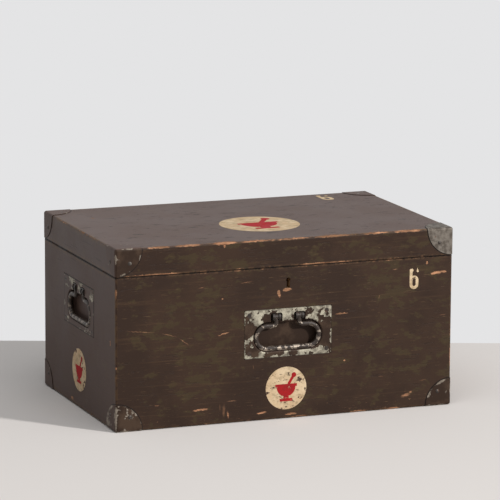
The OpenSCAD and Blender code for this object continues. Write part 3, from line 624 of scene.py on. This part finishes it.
    def coat(self, at: Sample, nicks: Socket) -> Socket:
        """The old paint itself, with its mottling, dusty bloom and painted sheen, nicks and scuffs.

        Args:
            at: The shared sockets.
            nicks: Mask of the nicks.

        Returns:
            The colour.
        """
        graph = at.graph
        colour = graph.mix(graph.step(at.clouds, 0.38, 0.60), self.deep, self.paint)
        blotches = graph.plus(at.patches, graph.times(graph.minus(at.clouds, 0.5), 0.35))
        colour = graph.mix(graph.times(graph.step(blotches, 0.53, 0.60), 0.7), colour, self.olive)
        colour = graph.mix(graph.times(graph.step(at.streaks, 0.56, 0.72), 0.35), colour, self.rubbed)
        # Dusty bloom and painted sheen: lighter paint on the top and, less, on the ends.
        colour = graph.mix(at.dust_and_sheen, colour, DUST_AND_SHEEN_TINT)
        colour = graph.mix(graph.times(nicks, 0.85), colour, CRACK_AND_GAP_SHADE)
        scuffs = graph.noise(at.along, 26.0, 4.0, 0.7, (1.6, 1.0, 1.0))
        scuffs = graph.times(graph.step(scuffs, 0.64, 0.70), graph.blend(at.at_end, 0.6, 0.2))
        specks = graph.specks(graph.warp(graph.place, 300.0, 1.2 * MM), 85.0, 1.1 * MM, 0.28)
        return graph.mix(graph.higher(scuffs, graph.times(specks, 0.55)), colour, self.scuffed)

    def worn_edge(self, at: Sample) -> Socket:
        """Bare wood along the block's edges, less of it along the seam.

        Args:
            at: The shared sockets.

        Returns:
            1 where the edge is bare and 0 elsewhere.
        """
        graph = at.graph
        by_open = graph.step(at.to_open, 7 * MM, 3 * MM)
        reach = graph.times(graph.step(at.gaps, 0.46, 0.66), 2.6 * MM)
        reach = graph.times(reach, graph.blend(by_open, 1.0, 0.45))
        rag = graph.times(graph.minus(at.ragged, 0.52), 7.5 * MM)
        return graph.step(graph.minus(at.edge, graph.plus(reach, rag)), 0.6 * MM, -0.1 * MM)

    def rubbed_edge(self, at: Sample, colour: Socket) -> Socket:
        """Lightens the paint beside the edges.

        Args:
            at: The shared sockets.
            colour: Colour of the paint.

        Returns:
            The rubbed colour.
        """
        graph = at.graph
        fade = graph.blend(at.dust_and_sheen, 5 * MM, 12 * MM)
        near = graph.times(graph.step(at.edge, fade, 0.6 * MM), graph.step(at.ragged, 0.42, 0.56))
        return graph.mix(graph.times(near, 0.8), colour, graph.mix(at.dust_and_sheen, self.rubbed, self.scuffed))

    def flecks(self, at: Sample) -> Socket:
        """Small chips along the grain, closer together near the floor.

        Args:
            at: The shared sockets.

        Returns:
            1 in a chip and 0 elsewhere.
        """
        graph = at.graph
        chips = graph.noise(at.along, 24.0, 6.0, 0.74, (2.6, 1.0, 1.0))
        _, _, height = graph.parts(graph.place)
        limit = graph.minus(0.745, graph.times(graph.step(height, 62 * MM, 3 * MM), 0.10))
        chips = graph.step(graph.minus(chips, limit), 0.0, 0.02)
        return graph.times(chips, graph.blend(graph.higher(at.at_top, at.at_end), 1.0, 0.15))

    def bare_wood(self, at: Sample) -> Socket:
        """The wood where the paint is gone.

        Args:
            at: The shared sockets.

        Returns:
            The colour.
        """
        graph = at.graph
        wood = graph.step(graph.noise(at.along, 45.0, 4.0, 0.65), 0.38, 0.62)
        wood = graph.mix(wood, self.wood_dark, self.wood)
        return graph.mix(graph.step(at.patches, 0.40, 0.62), graph.mix(0.6, wood, self.rubbed), wood)

    def darkening(self, at: Sample) -> Socket:
        """Painted gap shade round the corner caps and along the seam, where they are also dirty.

        Args:
            at: The shared sockets.

        Returns:
            1 where it is thickest and 0 where there is none.
        """
        graph = at.graph
        ring = graph.magnitude(graph.minus(at.to_corner, self.cap_reach))
        outer, inner = graph.blend(at.at_end, 1.3 * MM, 2.4 * MM), graph.blend(at.at_end, 0.5 * MM, 1.4 * MM)
        seam = graph.step(at.to_open, outer, inner)
        return graph.higher(graph.step(ring, 1.5 * MM, 0.6 * MM), seam)

    def raw_wood(self, at: Sample) -> Socket:
        """The wood inside, which was never painted.

        Args:
            at: The shared sockets.

        Returns:
            The colour.
        """
        graph = at.graph
        rings = graph.noise(at.along, 5.0, 6.0, 0.62, (0.5, 1.0, 1.0))
        raw = graph.mix(graph.step(rings, 0.32, 0.68), self.inside_dark, self.inside)
        raw = graph.mix(graph.times(graph.step(at.fibres, 0.46, 0.70), 0.45), raw, self.inside_dark)
        return graph.mix(graph.times(graph.step(at.clouds, 0.50, 0.66), 0.35), raw, self.stain)

    def build(self) -> bpy.types.Material:
        """Builds the material.

        Returns:
            The finished material.
        """
        graph = Graph(self.name)
        at = self.sample(graph)
        nicks, worn_edge, flecks = self.nicks(at), self.worn_edge(at), self.flecks(at)
        bare = graph.largest([worn_edge, flecks, self.mark_mask(graph)])
        under = graph.step(at.outer, self.skin, self.skin + 0.3 * MM)
        colour = self.rubbed_edge(at, self.coat(at, nicks))
        colour = graph.mix(bare, colour, self.bare_wood(at))
        # Painted gap shade round the corner caps and along the seam, over dirty paint.
        colour = graph.mix(graph.times(self.darkening(at), 0.88), colour, self.gap_shade_and_grime)
        colour = graph.mix(under, colour, self.raw_wood(at))

        rough = graph.blend(graph.step(at.clouds, 0.35, 0.65), self.rough_share, self.rough_share + 0.06)
        rough = graph.blend(graph.higher(bare, under), rough, 0.72)
        relief = graph.plus(graph.times(at.streaks, 0.30), graph.times(at.fibres, 0.12))
        relief = graph.minus(relief, graph.times(graph.higher(worn_edge, flecks), 0.4))
        relief = graph.minus(relief, graph.times(nicks, 1.6))
        return graph.finish(colour, rough, 0.0, graph.bump(relief, 0.40 * MM, 0.7), self.shine)


@dataclass(frozen=True)
class FlakedMetal:
    """Zinc-coated sheet whose brown paint has flaked off in patches."""

    name: str
    bare_share: float
    block: Block | None = None
    face: Face | None = None
    paint: Colour = srgb(47, 34, 26)
    paint_light: Colour = srgb(66, 51, 40)
    zinc: Colour = srgb(172, 166, 148)
    zinc_dark: Colour = srgb(112, 106, 94)
    rust: Colour = srgb(84, 52, 34)
    shadow: Colour = srgb(34, 26, 20)
    patch: float = 46.0
    # Strength of the painted gap shade along a handle plate's rim.
    rim_gap_shade: float = 0.0

    def plate_bias(self, graph: Graph) -> tuple[Socket, Socket]:
        """Extra flaking along the rim of a handle plate, and less of it down in its dish.

        Args:
            graph: The material that is being built.

        Returns:
            What to add to the patch noise, and 1 along the very rim, where the painted gap shade goes.
        """
        centre, half = self.block.centre, self.block.half
        x, y, z = graph.parts(graph.vector("SUBTRACT", graph.place, tuple(centre)))
        if self.face is Face.FRONT:
            across, wide, depth = x, half.x, graph.plus(y, half.y)
        else:
            outwards = 1.0 if self.face is Face.LEFT else -1.0
            across, wide, depth = y, half.y, graph.plus(graph.times(x, outwards), half.x)
        side = graph.minus(wide, graph.magnitude(across))
        way = graph.lower(side, graph.minus(half.z, graph.magnitude(z)))
        rim = graph.step(way, 4 * MM, 0.5 * MM)
        top = graph.step(z, half.z - 24 * MM, half.z - 19 * MM)
        low = graph.step(z, 14 * MM - half.z, 8 * MM - half.z)
        bias = graph.plus(graph.times(rim, 0.05), graph.times(top, 0.09))
        bias = graph.plus(bias, graph.times(low, 0.05))
        sunk = graph.times(graph.step(depth, 0.7 * MM, 1.6 * MM), 0.13)
        return graph.minus(bias, sunk), graph.step(way, 1.8 * MM, 0.9 * MM)

    def cap_bias(self, graph: Graph) -> Socket:
        """Extra flaking along the folds and the rim of a corner cap.

        Args:
            graph: The material that is being built.

        Returns:
            What to add to the patch noise.
        """
        centre, half = self.block.centre, self.block.half
        up = 1.0 if centre.z > MID_HEIGHT else -1.0
        reach = (math.copysign(half.x, centre.x), math.copysign(half.y, centre.y), up * half.z)
        corner = centre + Vector(reach)
        away = graph.vector("ABSOLUTE", graph.vector("SUBTRACT", graph.place, tuple(corner)))
        x, y, z = graph.parts(away)
        least, most = graph.lower(x, y), graph.higher(x, y)
        fold = graph.step(graph.higher(least, graph.lower(most, z)), 4.5 * MM, 1 * MM)
        rim = graph.minus(CAP_SIZE, graph.vector("LENGTH", away))
        rim = graph.step(rim, 5 * MM, 1.5 * MM)
        return graph.times(graph.higher(fold, graph.times(rim, 0.6)), 0.14)

    def build(self) -> bpy.types.Material:
        """Builds the material.

        Returns:
            The finished material.
        """
        graph = Graph(self.name)
        patches = graph.noise(graph.place, self.patch, 6.0, 0.66)
        rim_gap_shade: object = 0.0
        if self.face is not None:
            bias, rim_gap_shade = self.plate_bias(graph)
            patches = graph.plus(patches, bias)
        elif self.block is not None:
            patches = graph.plus(patches, self.cap_bias(graph))
        fine = graph.noise(graph.place, 420.0, 3.0, 0.6)
        clouds = graph.noise(graph.place, 30.0, 4.0, 0.6)
        limit = 0.5 + (0.5 - self.bare_share) * 0.36
        bare = graph.step(patches, limit, limit + 0.010)
        halo = graph.minus(graph.step(patches, limit - 0.03, limit + 0.005), bare)
        paint = graph.mix(graph.step(clouds, 0.42, 0.62), self.paint, self.paint_light)
        # Dusty bloom and painted sheen on the level faces and, less, on the upright ones.
        paint = graph.mix(graph.dust_and_sheen(*graph.upward()), paint, DUST_AND_SHEEN_TINT)
        paint = graph.mix(graph.times(halo, 0.5), paint, self.shadow)
        dull = graph.step(graph.noise(graph.place, 110.0, 5.0, 0.66), 0.36, 0.62)
        zinc = graph.mix(dull, self.zinc_dark, self.zinc)
        rust = graph.step(graph.noise(graph.place, 75.0, 6.0, 0.7), 0.64, 0.70)
        zinc = graph.mix(graph.times(rust, 0.7), zinc, self.rust)
        colour = graph.mix(bare, paint, zinc)
        # Painted gap shade along the rim of a handle plate.
        colour = graph.mix(graph.times(rim_gap_shade, self.rim_gap_shade), colour, CRACK_AND_GAP_SHADE)
        rough = graph.blend(bare, 0.50, graph.blend(fine, 0.48, 0.66))
        relief = graph.minus(graph.times(fine, 0.20), graph.times(bare, 0.7))
        dents = graph.noise(graph.place, 55.0, 2.0, 0.5)
        relief = graph.plus(relief, graph.times(dents, 1.4))
        return graph.finish(colour, rough, graph.times(bare, 0.35), graph.bump(relief, 0.3 * MM, 0.6), 0.12)


@dataclass(frozen=True)
class WornBar:
    """Round bar whose dark coat is rubbed to bright steel where a hand holds it."""

    name: str
    grip_height: float
    coat: Colour = srgb(48, 39, 33)
    steel: Colour = srgb(158, 146, 132)
    rust: Colour = srgb(84, 56, 42)

    def build(self) -> bpy.types.Material:
        """Builds the material.

        Returns:
            The finished material.
        """
        graph = Graph(self.name)
        _, _, height = graph.parts(graph.place)
        grip = graph.step(height, self.grip_height + 16 * MM, self.grip_height - 4 * MM)
        patches = graph.noise(graph.place, 120.0, 5.0, 0.65)
        limit = graph.minus(0.56, graph.times(grip, 0.09))
        bare = graph.step(graph.minus(patches, limit), 0.0, 0.04)
        stain = graph.step(graph.noise(graph.place, 210.0, 4.0, 0.6), 0.50, 0.68)
        steel = graph.mix(graph.times(stain, 0.5), self.steel, self.rust)
        colour = graph.mix(bare, self.coat, steel)
        rough = graph.blend(bare, 0.46, 0.38)
        pits = graph.noise(graph.place, 330.0, 3.0, 0.6)
        return graph.finish(colour, rough, graph.times(bare, 0.6), graph.bump(pits, 0.15 * MM, 0.6), 0.3)


@dataclass(frozen=True)
class DarkSteel:
    """Small steel pieces gone dark with age, with a little rust."""

    name: str
    body: Colour = srgb(58, 51, 46)
    light: Colour = srgb(120, 114, 106)
    rust: Colour = srgb(92, 60, 42)
    metal: float = 0.5
    shine: float = 0.5

    def build(self) -> bpy.types.Material:
        """Builds the material.

        Returns:
            The finished material.
        """
        graph = Graph(self.name)
        clouds = graph.noise(graph.place, 140.0, 4.0, 0.6)
        worn = graph.step(clouds, 0.66 - self.shine * 0.25, 0.76 - self.shine * 0.25)
        rust = graph.step(graph.noise(graph.place, 90.0, 5.0, 0.66), 0.56, 0.66)
        colour = graph.mix(worn, self.body, self.light)
        colour = graph.mix(graph.times(rust, 0.6), colour, self.rust)
        rough = graph.blend(rust, graph.blend(worn, 0.5, 0.36), 0.75)
        pits = graph.noise(graph.place, 500.0, 3.0, 0.6)
        return graph.finish(colour, rough, self.metal, graph.bump(pits, 0.12 * MM, 0.6))


@dataclass(frozen=True)
class BareWood:
    """Unpainted pine, darkened by age and handling."""

    name: str
    light: Colour = srgb(158, 126, 92)
    dark: Colour = srgb(104, 78, 54)
    stain: Colour = srgb(78, 58, 42)

    def build(self) -> bpy.types.Material:
        """Builds the material.

        Returns:
            The finished material.
        """
        graph = Graph(self.name)
        along = graph.vector("MULTIPLY", graph.place, (1.0, 11.0, 11.0))
        rings = graph.noise(along, 5.5, 6.0, 0.62, (0.5, 1.0, 1.0))
        fibres = graph.noise(along, 55.0, 3.0, 0.6)
        colour = graph.mix(graph.step(rings, 0.32, 0.68), self.dark, self.light)
        colour = graph.mix(graph.times(graph.step(fibres, 0.50, 0.68), 0.4), colour, self.dark)
        stains = graph.step(graph.noise(graph.place, 9.0, 5.0, 0.6), 0.52, 0.68)
        colour = graph.mix(graph.times(stains, 0.45), colour, self.stain)
        return graph.finish(colour, 0.7, 0.0, graph.bump(fibres, 0.3 * MM, 0.6))


@dataclass(frozen=True)
class SignPaint:
    """Thin paint of a sign, faded and chipped through to what lies under it."""

    name: str
    colour: Colour
    faded: Colour
    under: Colour
    chips: float
    darkening: Colour = srgb(112, 98, 70)

    def build(self) -> bpy.types.Material:
        """Builds the material.

        Returns:
            The finished material.
        """
        graph = Graph(self.name)
        clouds = graph.noise(graph.place, 38.0, 5.0, 0.62)
        colour = graph.mix(graph.step(clouds, 0.40, 0.64), self.colour, self.faded)
        # Dirty patches on the sign, darker and greener than its paint.
        darkening = graph.step(graph.noise(graph.place, 95.0, 6.0, 0.7, (0.7, 1.0, 1.2)), 0.47, 0.66)
        colour = graph.mix(graph.times(darkening, 0.5), colour, self.darkening)
        flakes = graph.noise(graph.place, 105.0, 6.0, 0.72, (0.7, 1.0, 1.2))
        holes = graph.step(flakes, 0.69 - self.chips * 0.10, 0.70 - self.chips * 0.10)
        colour = graph.mix(holes, colour, self.under)
        relief = graph.minus(graph.noise(graph.place, 300.0, 3.0, 0.6), graph.times(holes, 1.5))
        return graph.finish(colour, 0.7, 0.0, graph.bump(relief, 0.08 * MM, 0.6), 0.15)


class Dresser:
    """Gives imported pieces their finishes."""

    def __init__(self, frame: dict) -> None:
        """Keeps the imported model.
        """
        self.nodes: dict[str, bpy.types.Object] = frame["nodes"]

    def coat(self, material: bpy.types.Material, *names: str) -> None:
        """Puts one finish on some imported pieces.

        Args:
            material: The finish.
            *names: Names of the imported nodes.
        """
        for name in names:
            piece = self.nodes[name]
            if not piece.material_slots:
                piece.data.materials.append(material)
            for place in piece.material_slots:
                place.material = material
            LOG.info("%s: %s", name, material.name)


@dataclass
class Carcase:
    """The case below the lid: four painted boards on a bottom panel."""

    dresser: Dresser
    boards: tuple[str, ...] = ("front_board", "back_board", "left_board", "right_board")

    def marks(self) -> tuple[Mark, ...]:
        """The larger chips and scratches of the front and the ends.

        Returns:
            The marks, in metres.
        """
        front = Face.FRONT
        return (
            Mark(front, 0.001, 0.2262, 0.010, 0.0030, 4),
            Mark(front, -0.0140, 0.2200, 0.0026, 0.0075, 8),
            Mark(front, 0.1020, 0.1775, 0.0130, 0.0013, 2),
            Mark(front, 0.2790, 0.2370, 0.0110, 0.0028, 6),
            Mark(front, 0.2930, 0.2385, 0.0060, 0.0022, -10),
            Mark(front, 0.2610, 0.2560, 0.0020, 0.0030, 0),
            Mark(front, -0.1150, 0.1570, 0.0120, 0.0010, 13),
            Mark(front, -0.1174, 0.2185, 0.0018, 0.0016, 0),
            Mark(front, -0.1555, 0.2400, 0.0090, 0.0011, 4, 0.17),
            Mark(front, -0.0730, 0.2437, 0.0140, 0.0013, 5, 0.17),
            Mark(front, -0.2640, 0.1712, 0.0330, 0.0007, -7, 0.17),
            Mark(front, -0.2140, 0.1625, 0.0190, 0.0007, -16, 0.19),
            Mark(front, -0.1865, 0.1490, 0.0150, 0.0008, -38, 0.20),
            Mark(front, 0.2930, 0.1622, 0.0080, 0.0010, 2, 0.17),
            Mark(front, 0.1719, 0.2015, 0.0009, 0.0050, -12, 0.17),
            Mark(front, 0.2240, 0.0235, 0.0110, 0.0040, 12, 0.26),
            Mark(front, 0.2330, 0.0290, 0.0040, 0.0025, 0, 0.26),
            Mark(front, -0.1215, 0.0290, 0.0016, 0.0090, 3, 0.13),
            Mark(front, -0.1140, 0.0240, 0.0040, 0.0150, -4, 0.14),
            Mark(front, -0.1065, 0.0150, 0.0022, 0.0080, 6, 0.3),
            Mark(front, -0.1570, 0.0280, 0.0150, 0.0018, 3),
            Mark(front, -0.1000, 0.0390, 0.0120, 0.0009, 0, 0.17),
            Mark(front, -0.0450, 0.0140, 0.0100, 0.0016, 6),
            Mark(front, 0.0090, 0.0080, 0.0120, 0.0022, 2),
            Mark(front, 0.1768, 0.0605, 0.0070, 0.0008, 0, 0.17),
            Mark(front, -0.0605, 0.0955, 0.0009, 0.0050, 0, 0.17),
            Mark(front, 0.1080, 0.0940, 0.0020, 0.0014, 0),
            Mark(front, 0.2560, 0.0480, 0.0090, 0.0008, 3, 0.17),
            Mark(front, -0.2350, 0.0420, 0.0060, 0.0012, 0, 0.26),
            Mark(front, 0.2010, 0.2480, 0.0060, 0.0009, 0, 0.17),
            Mark(Face.LEFT, 0.0360, 0.0100, 0.0070, 0.0030, 0),
            Mark(Face.LEFT, -0.1695, 0.1500, 0.0020, 0.0060, 0, 0.7),
        )

    def dress(self) -> None:
        """Paints the boards and leaves the bottom bare."""
        block = Block.around(*self.boards)
        paint = PaintFinish("painted_case", block, self.marks(), 0.50, -1.0)
        self.dresser.coat(paint.build(), *self.boards)
        self.dresser.coat(BareWood("bare_pine").build(), "bottom_panel")


@dataclass
class Lid:
    """The lid: four rails under one panel, painted outside."""

    dresser: Dresser
    boards: tuple[str, ...] = (
        "lid_front_rail", "lid_back_rail", "lid_left_rail", "lid_right_rail", "lid_panel",
    )

    def marks(self, block: Block) -> tuple[Mark, ...]:
        """The long worn front edge and the larger chips of the lid.

        Args:
            block: The lid's outer block.

        Returns:
            The marks, in metres.
        """
        top = block.high.z
        ridge = [
            Mark(Face.FRONT, start, top - 1.2 * MM, length, width, 0.0, 1.0)
            for start, length, width in (
                (-0.232, 0.022, 0.0016), (-0.180, 0.026, 0.0014), (-0.113, 0.024, 0.0026),
                (-0.055, 0.030, 0.0013), (0.015, 0.028, 0.0012), (0.085, 0.036, 0.0018),
                (0.165, 0.026, 0.0013), (0.225, 0.028, 0.0020),
            )
        ]
        others = (
            Mark(Face.FRONT, -0.1138, top - 6.5 * MM, 0.0022, 0.0032, 0),
            Mark(Face.TOP, -0.2500, 0.0960, 0.0045, 0.0060, 0, 0.25),
            Mark(Face.FRONT, 0.0700, block.low.z + 1.0 * MM, 0.060, 0.0016, 0, 0.7),
            Mark(Face.FRONT, -0.2350, block.low.z + 1.0 * MM, 0.050, 0.0016, 0, 0.7),
        )
        return (*ridge, *others)

    def dress(self) -> None:
        """Paints the rails and the panel."""
        block = Block.around(*self.boards)
        paint = PaintFinish("painted_lid", block, self.marks(block), 0.46, 1.0)
        self.dresser.coat(paint.build(), *self.boards)


@dataclass
class CornerCaps:
    """Eight pressed corner caps with their nails."""

    dresser: Dresser

    def dress(self) -> None:
        """Gives the caps more or less bare zinc, as each is worn."""
        worn = {"lid_cap_front_right": 0.85, "lid_cap_front_left": 0.10, "case_cap_front_left": 0.30,
                "case_cap_front_right": 0.25, "lid_cap_back_right": 0.10, "lid_cap_back_left": -0.10,
                "case_cap_back_left": -0.05, "case_cap_back_right": 0.15}
        grey = FlakedMetal("flaked_cap", 0.5, zinc=srgb(142, 131, 119), zinc_dark=srgb(94, 85, 75))
        bare = replace(grey, zinc=srgb(116, 109, 101), zinc_dark=srgb(80, 73, 66))
        for node, share in worn.items():
            finish = replace(bare if share > 0.5 else grey, name="flaked_" + node, bare_share=share,
                             block=Block.around(node))
            self.dresser.coat(finish.build(), node)
        self.dresser.coat(DarkSteel("nail_steel", shine=0.55).build(), "case_cap_nails", "lid_cap_nails")


@dataclass
class DropHandle:
    """One let-in plate with its lugs, bail and screws."""

    dresser: Dresser
    side: str
    face: Face
    bare_share: float

    def dress(self) -> None:
        """Flakes the plate, darkens the lugs and rubs the bail bright."""
        plate = f"{self.side}_handle_plate"
        # Painted gap shade along the plate's rim, faint on the front and strong on the ends.
        darkening = 0.25 if self.face is Face.FRONT else 0.85
        finish = FlakedMetal("flaked_" + plate, self.bare_share, Block.around(plate), self.face, rim_gap_shade=darkening)
        self.dresser.coat(finish.build(), plate)
        low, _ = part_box(f"{self.side}_bail")
        bar = WornBar(f"{self.side}_bail_steel", low.z + 6 * MM)
        if self.face is not Face.FRONT:
            bar = replace(bar, steel=srgb(116, 105, 94))
        self.dresser.coat(bar.build(), f"{self.side}_bail")
        self.dresser.coat(DarkSteel(f"{self.side}_lug_steel", srgb(46, 40, 36), shine=0.2).build(),
                          f"{self.side}_handle_lugs")
        self.dresser.coat(DarkSteel(f"{self.side}_screw_steel", srgb(52, 44, 39), shine=0.1).build(),
                          f"{self.side}_plate_screws")


@dataclass
class Fittings:
    """Lock, hinges, lid stay and panel nails."""

    dresser: Dresser

    def dress(self) -> None:
        """Gives each fitting its dull steel."""
        coat = self.dresser.coat
        coat(DarkSteel("lock_steel", srgb(92, 90, 86), srgb(140, 138, 132), shine=0.4, metal=0.8).build(),
             "lock_back_plate", "lock_case", "lock_bolt", "lock_key_post", "lid_lock_staple")
        coat(DarkSteel("screw_steel", shine=0.3).build(),
             "lock_screws", "lid_staple_screws", "hinge_case_screws", "hinge_lid_screws")
        coat(FlakedMetal("flaked_hinges", 0.32).build(), "left_hinge_case_leaf", "left_hinge_lid_leaf",
             "right_hinge_case_leaf", "right_hinge_lid_leaf")
        coat(DarkSteel("pin_steel", shine=0.6, metal=0.8).build(), "left_hinge_pin", "right_hinge_pin")
        coat(DarkSteel("stay_steel", srgb(96, 93, 88), srgb(146, 143, 136), shine=0.5, metal=0.8).build(),
             "stay_bar", "stay_case_stud", "stay_lid_pivot")
        coat(DarkSteel("panel_nail_paint", srgb(60, 47, 40), srgb(82, 66, 54), shine=0.1, metal=0.1).build(),
             "lid_panel_nails", "bottom_panel_nails")


@dataclass
class Signs:
    """Painted discs, mortar signs and figures."""

    dresser: Dresser

    def dress(self) -> None:
        """Fades and chips the cream and red paint."""
        brown = srgb(72, 55, 44)
        cream = SignPaint("cream_paint", srgb(190, 164, 130), srgb(204, 182, 150), brown, 1.0)
        lid_cream = replace(cream, name="lid_cream_paint", chips=0.35)
        red = SignPaint("red_paint", srgb(158, 22, 26), srgb(140, 26, 28), srgb(190, 166, 136), 0.6,
                        srgb(110, 30, 28))
        lid_red = replace(red, name="lid_red_paint", chips=0.2, faded=srgb(160, 44, 52))
        self.dresser.coat(cream.build(), "case_cream_marks")
        self.dresser.coat(red.build(), "case_red_signs")
        self.dresser.coat(lid_cream.build(), "lid_cream_marks")
        self.dresser.coat(lid_red.build(), "lid_red_sign")


@dataclass
class Studio:
    """Camera, lamps, pale floor and the white backdrop beyond its far edge."""

    azimuth: float = -21.1673
    elevation: float = 10.8786
    roll: float = 0.3010
    place: tuple[float, float, float] = (-2.19719, -5.49956, 1.43278)
    lens: float = 254.925
    floor_behind: float = 0.43
    floor_reach: float = 12.0
    floor_colour: Colour = srgb(218, 213, 209)
    white: Colour = srgb(228, 228, 229)
    sky: Colour = (0.97, 0.98, 1.0)
    sky_strength: float = 0.28
    key_way: tuple[float, float, float] = (0.589, -0.701, 0.402)
    key_distance: float = 13.0
    key_size: float = 0.8
    key_power: float = 1620.0
    overhead_place: tuple[float, float, float] = (-0.6, -1.6, 4.2)
    overhead_size: float = 3.6
    overhead_power: float = 84.0

    def camera(self) -> None:
        """Sets the camera at the photograph's viewing angle."""
        turn, rise, tilt = map(math.radians, (self.azimuth, self.elevation, self.roll))
        back = Vector((math.sin(turn) * math.cos(rise), -math.cos(turn) * math.cos(rise), math.sin(rise)))
        right = (-back).cross(Vector((0, 0, 1))).normalized()
        up = right.cross(-back)
        level = right * math.cos(tilt) + up * math.sin(tilt)
        upright = up * math.cos(tilt) - right * math.sin(tilt)
        data = bpy.data.cameras.new("camera")
        data.lens, data.sensor_width, data.clip_end = self.lens, 36.0, 60.0
        camera = bpy.data.objects.new("camera", data)
        front = Vector((0.0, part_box("front_board")[0].y, 0.0))
        facing = Matrix((level, upright, back)).transposed().to_4x4()
        camera.matrix_world = Matrix.Translation(front + Vector(self.place)) @ facing
        bpy.context.scene.collection.objects.link(camera)
        bpy.context.scene.camera = camera

    def floor(self) -> None:
        """Lays the floor, square to the view, up to its edge behind the chest."""
        turn = math.radians(self.azimuth)
        away = Vector((-math.sin(turn), math.cos(turn), 0.0))
        side = Vector((math.cos(turn), math.sin(turn), 0.0))
        side, near = side * self.floor_reach, away * self.floor_reach
        left, right = away * self.floor_behind - side, away * self.floor_behind + side
        corners = (left, right, right - near, left - near)
        mesh = bpy.data.meshes.new("floor")
        mesh.from_pydata([tuple(corner) for corner in corners], [], [(0, 1, 2, 3)])
        mesh.materials.append(Graph("pale_floor").finish(self.floor_colour, 1.0, 0.0, None, 0.0))
        piece = bpy.data.objects.new("floor", mesh)
        bpy.context.scene.collection.objects.link(piece)

    def backdrop(self) -> None:
        """Lights evenly from all round, and shows white where nothing stands."""
        world = bpy.data.worlds.new("studio")
        bpy.context.scene.world = world
        world.use_nodes = True
        tree = world.node_tree
        sky = tree.nodes["Background"]
        sky.inputs["Color"].default_value = (*self.sky, 1.0)
        sky.inputs["Strength"].default_value = self.sky_strength
        white = tree.nodes.new("ShaderNodeBackground")
        white.inputs["Color"].default_value = (*self.white, 1.0)
        rays = tree.nodes.new("ShaderNodeLightPath")
        seen: Socket = rays.outputs["Is Camera Ray"]
        for kind in ("Is Glossy Ray", "Is Transmission Ray"):
            either = tree.nodes.new("ShaderNodeMath")
            either.operation = "MAXIMUM"
            tree.links.new(seen, either.inputs[0])
            tree.links.new(rays.outputs[kind], either.inputs[1])
            seen = either.outputs[0]
        mixed = tree.nodes.new("ShaderNodeMixShader")
        tree.links.new(seen, mixed.inputs[0])
        tree.links.new(sky.outputs[0], mixed.inputs[1])
        tree.links.new(white.outputs[0], mixed.inputs[2])
        tree.links.new(mixed.outputs[0], tree.nodes["World Output"].inputs["Surface"])

    def lamp(self, name: str, place: Vector, target: Vector, size: float, power: float,
             colour: Colour) -> None:
        """Adds one square soft lamp.

        Args:
            name: Name of the lamp.
            place: Where it stands.
            target: What it points at.
            size: Length of its side.
            power: Its power in watts.
            colour: Its colour.
        """
        data = bpy.data.lights.new(name, "AREA")
        data.shape, data.size, data.energy, data.color = "SQUARE", size, power, colour
        lamp = bpy.data.objects.new(name, data)
        aim = (target - place).to_track_quat("-Z", "Y").to_matrix().to_4x4()
        lamp.matrix_world = Matrix.Translation(place) @ aim
        bpy.context.scene.collection.objects.link(lamp)

    def light(self) -> None:
        """A fairly sharp key lamp at the right and a wide one overhead."""
        middle = Vector((0.0, 0.0, MID_HEIGHT))
        key = middle + self.key_distance * Vector(self.key_way)
        overhead = Vector(self.overhead_place)
        self.lamp("key", key, middle, self.key_size, self.key_power, (1.0, 0.985, 0.97))
        self.lamp("overhead", overhead, middle, self.overhead_size, self.overhead_power, (0.98, 0.99, 1.0))

    def build(self) -> None:
        """Builds the whole studio."""
        self.camera()
        self.floor()
        self.backdrop()
        self.light()
        bpy.context.scene.view_settings.view_transform = "Standard"


def main() -> None:
    """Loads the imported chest, dresses it and lights it."""
    logging.basicConfig(level=logging.INFO, format="%(message)s")
    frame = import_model()
    Studio().build()
    dresser = Dresser(frame)
    Carcase(dresser).dress()
    Lid(dresser).dress()
    CornerCaps(dresser).dress()
    handles = (("front", Face.FRONT, 0.33), ("left", Face.LEFT, 0.10), ("right", Face.RIGHT, 0.25))
    for side, face, share in handles:
        DropHandle(dresser, side, face, share).dress()
    Fittings(dresser).dress()
    Signs(dresser).dress()


if __name__ == "__main__":
    main()
